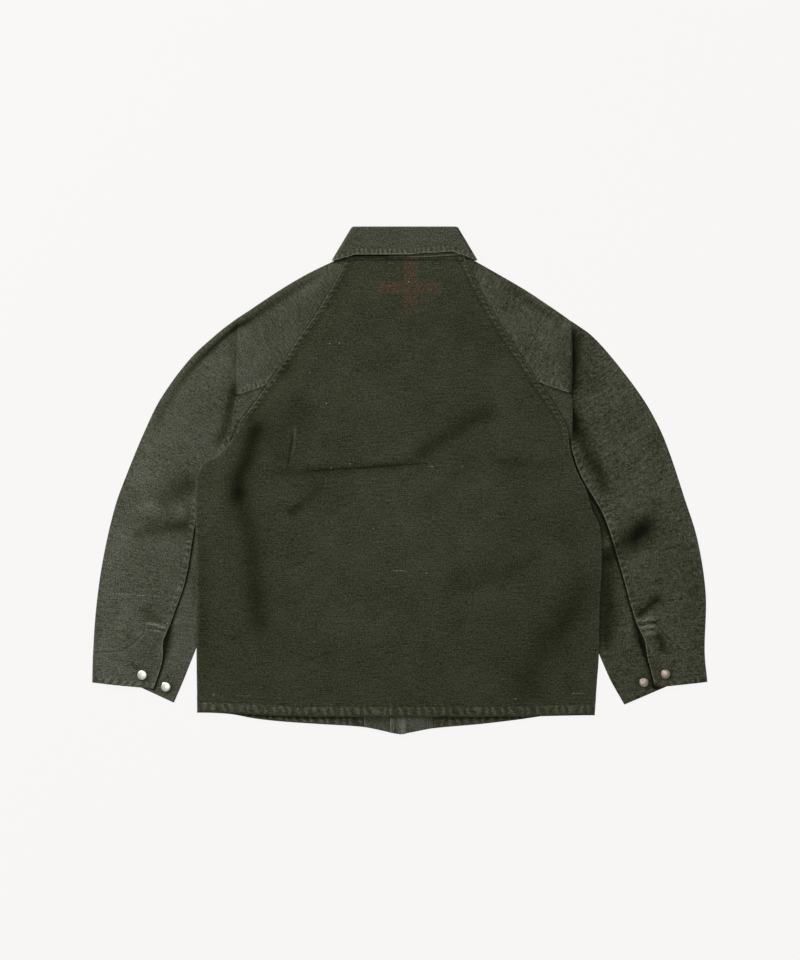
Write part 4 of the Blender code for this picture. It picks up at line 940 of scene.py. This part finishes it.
def front_columns(y, side):
    """Where a front's side edge is at a level, and the places across it that carry its net."""
    edge = BACK_EDGES[side]
    start = edge_x(edge, y) - side * level(FRONT_INSET[side], y) * edge_lean(edge, y)
    near = start - side * np.linspace(0.0, SIDE_RAMP[1], 21) * level(SIDE_SCALE, y)
    if side < 0:
        return start, np.concatenate([near, np.linspace(near[-1], FRONT_UNDER_EDGE, 60)[1:]])
    far = np.concatenate([np.linspace(FRONT_RAMP[1], FRONT_RAMP[0], 6),
                          [0.02, 0.011, LUMP_X, -0.006, FRONT_OVER_EDGE]])
    return start, np.concatenate([near, np.linspace(near[-1], FRONT_RAMP[1], 50)[1:-1], far])


def make_front(name, node, side, seed):
    """A front from neck to hem, its levels bent onto the curves of both."""
    above = front_columns(front_levels[0], side)[1]
    below = front_columns(front_levels[-1], side)[1]
    rows = []
    for y in front_levels:
        start, x = front_columns(y, side)
        down = (front_levels[0] - y) / (front_levels[0] - front_levels[-1])
        high = np.minimum(neck_y(above), front_levels[0]) - front_levels[0]
        low = smooth_curve(FRONT_HEM, below) + 0.0003 - front_levels[-1]
        along = y + high * (1.0 - down) ** 2 + low * ease(0.75, 1.0, down)
        rows.append(np.stack([x, along, front_height(x, along, side, abs(x - start))], axis=1))
    net = np.array(rows)
    from_hem = net[..., 1] - net[-1:, :, 1]
    # A pale hem edge: rubbed wear with a painted highlight.
    wear_and_highlight = 0.4 * bell(from_hem, 0.0016)
    shade = 0.25 * bell(from_hem - 0.015, 0.0012)
    return cut_piece(
        name, node, net, turned(net, 0.0), wear_and_highlight, shade,
        canvas(name + "_canvas", (0.04, 0.044, 0.027), INSIDE_PALE, seed),
    )


make_front("front_left_piece", "front_left", -1, 11.0)
make_front("front_right_piece", "front_right", 1, 12.0)

# The turned-up hems of the fronts: their raw side shows as a narrow strip below the back's hem.
# The same canvas, folded up inside, stitched 15 mm above the edge and puckered by washing.
FRONT_GATHER = 0.0122


def make_front_hem(name, node, side, inner, seed):
    """The strip of a front's turned-up hem, from its side edge to the facing."""
    edge = BACK_EDGES[side]
    outer = edge_x(edge, -0.345) - side * 0.003
    x, up = np.meshgrid(np.linspace(outer, inner, 121), np.linspace(0.0006, HEM, 14))
    y = smooth_curve(FRONT_HEM, x) + up
    gathers = puckers(x, FRONT_GATHER, 150.0 * up, seed)
    swell = arch(up, HEM_SWELL, 0.6)
    net = np.stack([x, y, FLOOR + LAYER + swell * (0.0001 + 0.0011 * gathers)], axis=2)[::-1]
    # A pale hem edge: rubbed wear with a painted highlight.
    wear_and_highlight = (0.28 * bell(up, 0.0014))[::-1]
    below_back = (y - HEM_Y - hem_rise((x + 0.304) / 0.596)).clip(-0.02, 0.0)
    shade = (0.08 + 0.55 * bell(below_back, 0.003))[::-1]
    return cut_piece(
        name, node, net, turned(net, 0.0), wear_and_highlight, shade,
        canvas(name + "_canvas", (0.053, 0.0585, 0.0365), INSIDE_PALE, seed),
        [(x / FRONT_GATHER, up[::-1] / HEM_SWELL)],
    )


make_front_hem("front_hem_left_piece", "front_hem_left", -1, -0.055, 13.0)
make_front_hem("front_hem_right_piece", "front_hem_right", 1, 0.051, 14.0)

# The facings: a strip of paler canvas inside each front edge, the right one lying over the left.
# They show at the middle of the lower edge, with the lump where the two closures are folded together.
FACING_EDGES = (-0.054, 0.05)


def make_facing(name, node, side, places, seed):
    """A facing across some places, from the neck's edge to the hem."""
    rows = []
    for up in np.concatenate([np.linspace(1.0, 0.08, 60)[:-1], np.linspace(0.08, 0.0, 24)]):
        low, high = smooth_curve(FRONT_HEM, places) + 0.0006, neck_y(places) - 0.002
        y = low + (high - low) * up
        rows.append(np.stack([places, y, front_height(places, y, side) + LAYER], axis=1))
    net = np.array(rows)
    x, y = net[..., 0], net[..., 1]
    from_hem = y - net[-1:, :, 1]
    near_hem = bell(from_hem, 0.022)
    from_edge = abs(x - places[0])
    lump = bell(x - 0.005, 0.0045) * near_hem * (side > 0)
    gathers = puckers(x, 0.0105, 90.0 * from_hem, seed)
    relief = near_hem * 0.0005 * gathers + lump * 0.0013
    relief -= 0.0005 * bell(x + 0.006, 0.0011) * (side > 0)
    # Pale facing edge and closure lump: rubbed wear with a painted highlight on the raised lump and edge.
    wear_and_highlight = 0.85 * bell(from_edge, 0.0014) + 0.62 * lump
    wear_and_highlight = wear_and_highlight + 0.3 * bell(from_hem, 0.0014)
    shade = 0.4 * bell(x + 0.006, 0.0012) * (side > 0)
    shade = shade + 0.4 * bell(x - 0.0115, 0.0014) * near_hem * (side > 0)
    shade = shade + 0.12 * near_hem * (1.0 - gathers)
    return cut_piece(
        name, node, lifted(net, relief, 1.0), turned(net, 90.0), wear_and_highlight, shade,
        canvas(name + "_canvas", (0.0735, 0.078, 0.054), INSIDE_PALE, seed),
    )


make_facing("facing_left_piece", "facing_left", -1,
            np.linspace(FACING_EDGES[0], FRONT_UNDER_EDGE - 0.002, 26), 15.0)
make_facing("facing_right_piece", "facing_right", 1,
            np.linspace(FRONT_OVER_EDGE + 0.0015, FACING_EDGES[1], 46), 16.0)

# The collar: one piece of canvas folded over along the top, its fall lying on its stand, and both wrapped
# round to the front. The fall's edge is topstitched, rubbed pale with a painted highlight along it, and drawn
# into small puckers; painted shade lies under the fall and on the stand.
COLLAR_TOP = 0.381
COLLAR_MIDDLE_Z = 0.0053
FALL_HALF_HEIGHT = 0.0047
COLLAR_ROLL = 0.0012
COLLAR_GATHER = 0.0072
COLLAR_LEFT = [(-0.073, 0.379), (-0.1025, 0.33)]
COLLAR_RIGHT = [(0.088, 0.379), (0.116, 0.332)]
# Share of the way across from the left end, and y there
FALL_EDGE_BACK = [(0.0, 0.3305), (0.06, 0.3345), (0.13, 0.339), (0.5, 0.339), (0.7, 0.342), (0.87, 0.3435),
                  (0.94, 0.338), (1.0, 0.332)]
LEAF_EDGE = [(0.0, 0.3305), (0.15, 0.303), (0.3, 0.272), (0.42, 0.25), (0.5, 0.25)]


def collar_side(ends, y):
    """Where one end of the collar is at a level."""
    (x_top, y_top), (x_low, y_low) = ends
    return x_top + (x_low - x_top) * (y_top - y) / (y_top - y_low)


leaf_shares = np.linspace(0.49, 0.0, 30)[:-1]
round_turn = np.linspace(-90.0, 90.0, 13)
collar_columns = [(share, -90.0) for share in leaf_shares] + [(0.0, degrees) for degrees in round_turn]
collar_columns += [(share, 90.0) for share in np.linspace(0.0, 1.0, 96)[1:-1]]
collar_columns += [(1.0, degrees) for degrees in round_turn[::-1]]
collar_columns += [(1.0 - share, -90.0) for share in leaf_shares[::-1]]
near_fall_edge = [0.0, 0.4, 0.8, 1.2, 1.7, 2.3, 3.0, 3.8, 4.7, 5.7, 6.8, 7.8, 8.8, 9.8, 11.0, 12.4]
fall_shares = np.concatenate([np.array(near_fall_edge) / 41.0, np.linspace(0.345, 1.0, 16)])
up_the_stand = [36.0, 29.0, 23.0, 18.0, 14.0, 11.0, 8.5, 6.5, 5.0, 3.8, 2.8, 2.0, 1.3, 0.7, 0.0]
stand_shares = 1.0 - np.array(up_the_stand) / 44.0
columns, fall_steps = [], len(fall_shares)
for share, degrees in collar_columns:
    behind = 0.5 + 0.5 * math.sin(math.radians(degrees))
    to_side = min(share, 1.0 - share)
    leaf = level(LEAF_EDGE, to_side)
    fall_edge = leaf + (level(FALL_EDGE_BACK, share) - leaf) * behind
    ahead_top = COLLAR_TOP - 0.0015 - (COLLAR_TOP - 0.305) * ease(0.0, 0.5, to_side)
    top = ahead_top + (COLLAR_TOP - ahead_top) * behind
    x_left, x_right = collar_side(COLLAR_LEFT, 0.3), collar_side(COLLAR_RIGHT, 0.3)
    x_mid = x_left + share * (x_right - x_left)
    stand_front = neck_y(x_mid) + 0.004 if to_side > 0.02 else 0.339
    stand_back = 0.335 + 0.004 * ease(0.1, 0.0, to_side)
    stand_back += 0.003 * ease(0.62, 0.9, share) * ease(1.0, 0.9, share)
    stand_edge = stand_front + (stand_back - stand_front) * behind
    centre_y = top - CLOTH / 2 - COLLAR_ROLL
    turn = np.linspace(0.0, math.pi, 9)[1:]
    y = np.concatenate([fall_edge + (centre_y - fall_edge) * fall_shares,
                        centre_y + COLLAR_ROLL * np.sin(turn),
                        centre_y + (stand_edge - centre_y) * stand_shares])
    inset = np.concatenate([np.zeros(fall_steps), COLLAR_ROLL * (1.0 - np.cos(turn)),
                            np.full(len(stand_shares), 2 * COLLAR_ROLL)])
    reach = FALL_HALF_HEIGHT - inset
    left = collar_side(COLLAR_LEFT, y) + CLOTH / 2 + FALL_HALF_HEIGHT
    right = collar_side(COLLAR_RIGHT, y) - CLOTH / 2 - FALL_HALF_HEIGHT
    swing = math.cos(math.radians(degrees)) * (-1.0 if share < 0.5 else 1.0)
    x = left + (right - left) * share + swing * reach
    columns.append(np.stack([x, y, COLLAR_MIDDLE_Z + reach * math.sin(math.radians(degrees))], axis=1))
collar_net = np.array(columns).transpose(1, 0, 2)
x, y = collar_net[..., 0], collar_net[..., 1]
down_fall = (np.arange(collar_net.shape[0]) < fall_steps)[:, None]
from_edge = np.abs(y - y[0])
from_corner = np.minimum(x - collar_side(COLLAR_LEFT, y), collar_side(COLLAR_RIGHT, y) - x)
gathers = puckers(x, COLLAR_GATHER, 230.0 * from_edge, 2.2)
swell = arch(from_edge, 0.0088)
relief = swell * (0.0002 + 0.0011 * gathers) - 0.0005 * bell(from_edge - 0.0088, 0.0012)
relief += (0.0003 + 0.0004 * puckers(y, 0.009, 0.0, 5.0)) * bell(from_corner - 0.006, 0.003)
relief += ripples(x, y, 2.6) * 1.2
facing_up = np.array([degrees > 60.0 for share, degrees in collar_columns])[None, :]
relief *= facing_up * down_fall * ease(0.0, 0.004, from_corner) * ease(0.0, 0.004, COLLAR_TOP - y)
# Pale fall edge, top fold and stand edge: rubbed wear with a painted highlight along each.
collar_wear_and_highlight = down_fall * bell(from_edge, 0.0013)
collar_wear_and_highlight = collar_wear_and_highlight + down_fall * 0.14 * ease(0.0035, 0.0, COLLAR_TOP - y)
collar_shade = down_fall * 0.26 * bell(from_edge - 0.0088, 0.0012)
from_stand_edge = np.where(np.arange(collar_net.shape[0])[:, None] >= fall_steps + 8, abs(y - y[-1]), 1.0)
collar_wear_and_highlight = collar_wear_and_highlight + 0.55 * bell(from_stand_edge, 0.0009) * ease(-0.02, 0.02, x)
collar_shade = collar_shade + 0.45 * ease(0.0012, 0.0024, from_stand_edge) * (from_stand_edge < 0.5)
collar_shade = collar_shade + 0.6 * (from_stand_edge < 0.5) * ease(0.0, -0.03, x)
collar_piece = cut_piece(
    "collar_piece", "collar", lifted(collar_net, relief, -1.0), turned(collar_net, 0.0),
    collar_wear_and_highlight, collar_shade,
    canvas("collar_canvas", (0.057, 0.0602, 0.0398), (0.172, 0.177, 0.126), 18.0),
    [(x / COLLAR_GATHER, np.where(down_fall & facing_up, from_edge / 0.0092, NO_SEAM))],
)

# The cuff buttons: tack buttons with a low domed cap rolled over at its rim, on a short neck hammered through
# the cuff. The left pair is dulled nickel and the right pair copper whose plating has worn off the rims.
BUTTON_NECK = 0.0032
BUTTON_PROFILE = [  # distance from the middle, height above the cloth
    (0.0, 0.0035), (0.0022, 0.00345), (0.004, 0.0033), (0.0053, 0.0031), (0.0062, 0.00288), (0.0067, 0.00268),
    (0.007, 0.0024), (0.0071, 0.0021), (0.007, 0.0018), (0.0064, 0.0015), (0.005, 0.0014),
    (0.0032, 0.0013), (0.0034, 0.0004), (0.0038, 0.0),
]


def worn_metal(name, colour, bare, seed):
    """Plated metal, stained and finely scratched, its bare colour showing where it is rubbed."""
    finish = Finish(name, Metallic=1.0, Roughness=0.42)
    place = finish.node("ShaderNodeTexCoord", {}, None, 3)
    stains = finish.noise(place, (260.0, 260.0), 3.0, seed)
    scratches = finish.noise(place, (1100.0, 220.0), 2.0, seed + 3.0)
    rubbed = (stains * 0.7 + scratches * 0.4).between(0.4, 0.75)
    bump = finish.node("ShaderNodeBump", {}, {"Strength": 0.04, "Distance": 0.0001, "Height": scratches})
    finish.feed(Base_Color=finish.mix(rubbed, (*colour, 1.0), (*bare, 1.0)),
                Roughness=0.42 - rubbed * 0.14, Normal=bump)
    return finish.material


nickel = worn_metal("dulled_nickel", (0.78, 0.77, 0.69), (0.95, 0.95, 0.9), 2.0)
copper = worn_metal("worn_copper", (0.27, 0.222, 0.178), (0.44, 0.362, 0.3), 6.0)
surfaces = {}


def put_in_order(shape):
    """Numbers a shape's corners and faces by their places, so that every run stores them alike."""
    spread = Vector((1.0, 17.3, 291.7))
    shape.verts.sort(key=lambda corner: corner.co.dot(spread))
    shape.faces.sort(key=lambda face: face.calc_center_median().dot(spread))
    shape.verts.index_update()
    shape.faces.index_update()


def top_of(piece, x, y):
    """The highest point of a piece at a place, and the way its surface faces there."""
    if piece.name not in surfaces:
        surfaces[piece.name] = BVHTree.FromObject(piece, bpy.context.evaluated_depsgraph_get())
    place, facing = surfaces[piece.name].ray_cast(Vector((x, y, 0.05)), Vector((0.0, 0.0, -1.0)))[:2]
    return place, facing


for name, x, y, sleeve, metal, slot in (
    ("button_left_1", -0.3864, -0.2912, sleeve_left_piece, nickel, "pale_button"),
    ("button_left_2", -0.3512, -0.3092, sleeve_left_piece, nickel, "pale_button"),
    ("button_right_1", 0.3983, -0.2897, sleeve_right_piece, copper, "copper_button"),
    ("button_right_2", 0.3662, -0.3026, sleeve_right_piece, copper, "copper_button"),
):
    cap = bmesh.new()
    corners = [cap.verts.new((across, 0.0, up)) for across, up in BUTTON_PROFILE]
    edges = [cap.edges.new(pair) for pair in zip(corners, corners[1:])]
    bmesh.ops.spin(cap, geom=corners + edges, cent=(0, 0, 0), axis=(0, 0, 1), angle=math.tau, steps=40,
                   use_merge=True)
    bmesh.ops.remove_doubles(cap, verts=cap.verts, dist=0.00002)
    bmesh.ops.holes_fill(cap, edges=cap.edges, sides=64)
    bmesh.ops.recalc_face_normals(cap, faces=cap.faces)
    put_in_order(cap)
    seat = max(top_of(sleeve, x + BUTTON_NECK * math.cos(turn), y + BUTTON_NECK * math.sin(turn))[0].z
               for turn in np.linspace(0.0, math.tau, 12))
    bmesh.ops.translate(cap, verts=cap.verts, vec=(x, y, seat))
    mesh = bpy.data.meshes.new(name + "_cap")
    cap.to_mesh(mesh)
    cap.free()
    mesh.shade_smooth()
    mesh.materials.append(metal)
    button = placed(name + "_cap", mesh)
    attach(button, "root")
    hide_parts(name)

# The sewing: rows of olive thread along every felled seam, hem, cuff and collar edge, in 3 mm stitches.
# Bar tacks close each vent's head, thread binds the buttonhole of each overlap, and the thickest slubs
# and knots of the canvas stand out as pale thread.
STITCH = 0.0031
BACK_THREAD = (0.04, 0.043, 0.027)
SLEEVE_THREAD = (0.055, 0.058, 0.04)
SLUB = 0.006  # length of one twist of a thick slub
hump = bmesh.new()
bmesh.ops.create_uvsphere(hump, u_segments=6, v_segments=4, radius=0.5)
put_in_order(hump)
stitch_points = np.array([point.co[:] for point in hump.verts])
stitch_faces = [[corner.index for corner in face.verts] for face in hump.faces]
hump.free()


def spaced(route, pitch):
    """Points a stitch apart along a route."""
    route = np.asarray(route)[:, :2]
    done = path_length(route)
    places = np.arange(0.0, done[-1], pitch)
    return np.stack([np.interp(places, done, route[:, 0]), np.interp(places, done, route[:, 1])], axis=1)


def sew(name, runs, colour, thick=0.00055, cover=0.8, roughness=0.7):
    """Thread along routes on the cloth: each stitch a small hump, all of them one mesh."""
    points, faces = [], []
    for piece, route, pitch in runs:
        marks = spaced(route, pitch)
        for here, ahead in zip(marks, marks[1:]):
            place, facing = top_of(piece, *((here + ahead) / 2))
            if place is None:
                continue
            facing = np.array(facing)
            along = np.append(ahead - here, 0.0)
            along -= facing * along.dot(facing)
            along /= np.linalg.norm(along)
            axes = np.array([along * pitch * cover, np.cross(facing, along) * thick, facing * thick * 0.8])
            faces += [[corner + len(points) for corner in face] for face in stitch_faces]
            points += list(np.array(place) + facing * thick * 0.12 + stitch_points @ axes)
    mesh = bpy.data.meshes.new(name)
    mesh.from_pydata(points, [], faces)
    mesh.shade_smooth()
    finish = Finish(name + "_thread", Roughness=roughness, Specular_IOR_Level=0.25)
    place = finish.node("ShaderNodeTexCoord", {}, None, 3)
    tone = 0.75 + finish.noise(place, (300.0, 300.0), 2.0, 3.0) * 0.5
    finish.feed(Base_Color=finish.shaded(colour, tone))
    mesh.materials.append(finish.material)
    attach(placed(name, mesh), "root")


def beside(side, foot, away):
    """A route down a raglan seam to its foot, at a distance in from the back's edge."""
    y = np.linspace(0.332, foot, 90)
    return np.stack([edge_x(BACK_EDGES[side], y) - side * away * edge_lean(BACK_EDGES[side], y), y], axis=1)


def down_sleeve(outer, seam, first, last, away):
    """A route at a distance in from a sleeve's seam."""
    route = []
    for k in np.linspace(first, last, 60):
        top, fold = station(seam, k)[:2], station(outer, k)
        route.append(top + (fold - top) / np.linalg.norm(fold - top) * away)
    return np.array(route)


hem_row = back_net[back_flat_rows - 1]
hem_route = np.stack([hem_row[::3, 0], hem_row[::3, 1] + 0.015], axis=1)[1:-1]
raglan_runs = []
for side, foot in ((-1, 0.096), (1, 0.064)):
    raglan_runs += [(back_piece, beside(side, foot, away), STITCH) for away in (0.0019, 0.0083)]
sew("raglan_stitching", raglan_runs, BACK_THREAD)
sew("hem_stitching", [(back_piece, hem_route, STITCH)], BACK_THREAD)
sleeve_runs = []
for piece, outer, seam, cuff_line in ((sleeve_left_piece, LEFT_OUTER, LEFT_SEAM, LEFT_CUFF_LINE),
                                      (sleeve_right_piece, RIGHT_OUTER, RIGHT_SEAM, RIGHT_CUFF_LINE)):
    sleeve_runs += [(piece, down_sleeve(outer, seam, 10.3, 15.0, away), STITCH) for away in (0.0018, 0.0085)]
    sleeve_runs += [(piece, down_sleeve(outer, seam, 15.0, 16.9, 0.002), STITCH)]
    sleeve_runs += [(piece, down_sleeve(outer, seam, 4.8, 6.0, 0.0018), STITCH), (piece, cuff_line, STITCH)]
    fold, top = station(outer, 17)[:2] + (0.0, 0.0095), station(seam, 17)[:2] + (0.0, 0.0095)
    sleeve_runs.append((piece, [fold + (top - fold) * 0.03, top + (fold - top) * 0.02], STITCH))
sew("sleeve_stitching", sleeve_runs, SLEEVE_THREAD)
fall_line = [(x, y + 0.0088) for x, y in collar_net[0, 44:134, :2]]
collar_runs = [(collar_piece, fall_line, STITCH)]
for ends, side in ((COLLAR_LEFT, 1), (COLLAR_RIGHT, -1)):
    end_line = [(collar_side(ends, y) + side * 0.0075, y) for y in (0.343, 0.372)]
    collar_runs.append((collar_piece, end_line, STITCH))
sew("collar_stitching", collar_runs, SLEEVE_THREAD)
tack_runs, hole_runs = [], []
for piece, heads, slot_ends in (
    (sleeve_left_piece, [((-0.377, -0.2185), (-0.354, -0.2215)), ((-0.362, -0.2265), (-0.352, -0.2285))],
     ((-0.4005, -0.2745), (-0.3925, -0.2825))),
    (sleeve_right_piece, [((0.362, -0.213), (0.385, -0.216)), ((0.366, -0.223), (0.378, -0.225))],
     ((0.4125, -0.27), (0.4045, -0.279))),
):
    for start, end in heads:
        for lower in (0.0, 0.0012):
            tack_runs.append((piece, [(start[0], start[1] - lower), (end[0], end[1] - lower)], 0.0009))
    start, end = np.array(slot_ends)
    along = (end - start) / np.linalg.norm(end - start)
    square = np.array([-along[1], along[0]])
    for step in np.arange(0.0, np.linalg.norm(end - start), 0.0008):
        for side in (-1.0, 1.0):
            near = start + along * step + square * side * 0.0007
            hole_runs.append((piece, [near, near + square * side * 0.0019], 0.0017))
    for turn in np.linspace(0.0, math.tau, 13)[:-1]:
        ray = np.array([math.cos(turn), math.sin(turn)])
        hole_runs.append((piece, [start + ray * 0.0011, start + ray * 0.003], 0.0017))
sew("bar_tacks", tack_runs, (0.12, 0.125, 0.092), 0.0007, 1.3)
sew("buttonhole_binding", hole_runs, (0.026, 0.028, 0.018), 0.0008, 1.1)
slub_runs = [(back_piece, run, SLUB) for run in (
    [(-0.0125, -0.135), (-0.005, -0.1346), (0.0075, -0.1352)], [(0.044, 0.0212), (0.0525, 0.021)],
    [(0.09, 0.0216), (0.0965, 0.0214)], [(0.258, -0.3192), (0.279, -0.319)],
    [(0.17, -0.3272), (0.1765, -0.327)], [(-0.246, -0.3222), (-0.218, -0.3226)],
    [(-0.281, -0.3212), (-0.2745, -0.3211)], [(0.012, 0.2975), (0.0185, 0.297)],
)]
slub_runs += [(sleeve_left_piece, run, SLUB) for run in (
    [(-0.2075, 0.222), (-0.201, 0.206), (-0.195, 0.1925)],
    [(-0.436, -0.1696), (-0.4, -0.1706), (-0.336, -0.176)],
)]
slub_runs += [(sleeve_right_piece, run, SLUB) for run in (
    [(0.1835, 0.278), (0.1755, 0.2715)], [(0.224, 0.256), (0.2155, 0.2435), (0.207, 0.2305)],
)]
dot_runs = [(sleeve_left_piece, [(x - 0.001, y), (x + 0.0014, y)], 0.0022) for x, y in (
    (-0.4205, -0.17), (-0.417, -0.1704), (-0.41, -0.1703), (-0.392, -0.1717), (-0.389, -0.1722),
    (-0.3845, -0.172), (-0.43, -0.1696), (-0.437, -0.124), (-0.35, -0.15), (-0.348, -0.214),
)]
dot_runs += [(back_piece, [(x - 0.0009, y), (x + 0.0012, y)], 0.002) for x, y in (
    (-0.005, -0.135), (0.002, -0.1346), (0.0068, -0.1352), (0.0485, 0.0212), (0.0935, 0.0214),
    (-0.279, -0.3212), (-0.0745, 0.025), (-0.103, 0.019), (0.013, 0.298), (0.26, -0.319),
    (-0.105, 0.2055), (-0.0905, 0.206),
    (-0.135, 0.162), (-0.11, 0.116), (-0.178, 0.229), (0.174, -0.327), (0.04, -0.138), (-0.04, -0.072),
)]
sew("pale_knots", dot_runs, (0.42, 0.41, 0.34), 0.0011, 0.85, 0.9)
sew("pale_slubs", slub_runs, (0.22, 0.22, 0.17), 0.00036, 1.25, 0.9)

# The floor is pale and plain, the light is soft and comes mostly from the upper left.
# The camera looks straight down on the middle of the jacket, as the photograph does.
bpy.ops.mesh.primitive_plane_add(size=60.0)
floor = bpy.context.object
floor.name = "floor"
ground = Finish("pale_ground", Roughness=1.0, Specular_IOR_Level=0.0)
ground.shader.inputs["Base Color"].default_value = (0.03, 0.03, 0.03, 1.0)
ground.shader.inputs["Emission Color"].default_value = (0.939, 0.923, 0.914, 1.0)
ground.shader.inputs["Emission Strength"].default_value = 0.972
floor.data.materials.append(ground.material)
world = bpy.data.worlds.new("soft_room")
world.use_nodes = True
world.node_tree.nodes["Background"].inputs["Color"].default_value = (1.0, 1.0, 1.0, 1.0)
world.node_tree.nodes["Background"].inputs["Strength"].default_value = 0.36
bpy.context.scene.world = world
for name, place, size, power in (
    ("window", (-1.9, 1.7, 1.6), 1.2, 70.0),
    ("overhead", (0.2, 0.1, 3.5), 2.0, 26.0),
):
    lamp = bpy.data.lights.new(name, "AREA")
    lamp.size = size
    lamp.energy = power
    light = placed(name, lamp)
    light.location = place
    light.rotation_euler = (-Vector(place)).to_track_quat("-Z", "Y").to_euler()
lens = bpy.data.cameras.new("camera")
lens.sensor_fit = "VERTICAL"
lens.sensor_height = 36.0
lens.lens = 75.0
camera = placed("camera", lens)
camera.location = (0.0003, 0.00105, 3.006)
bpy.context.scene.camera = camera
bpy.context.scene.view_settings.view_transform = "Standard"
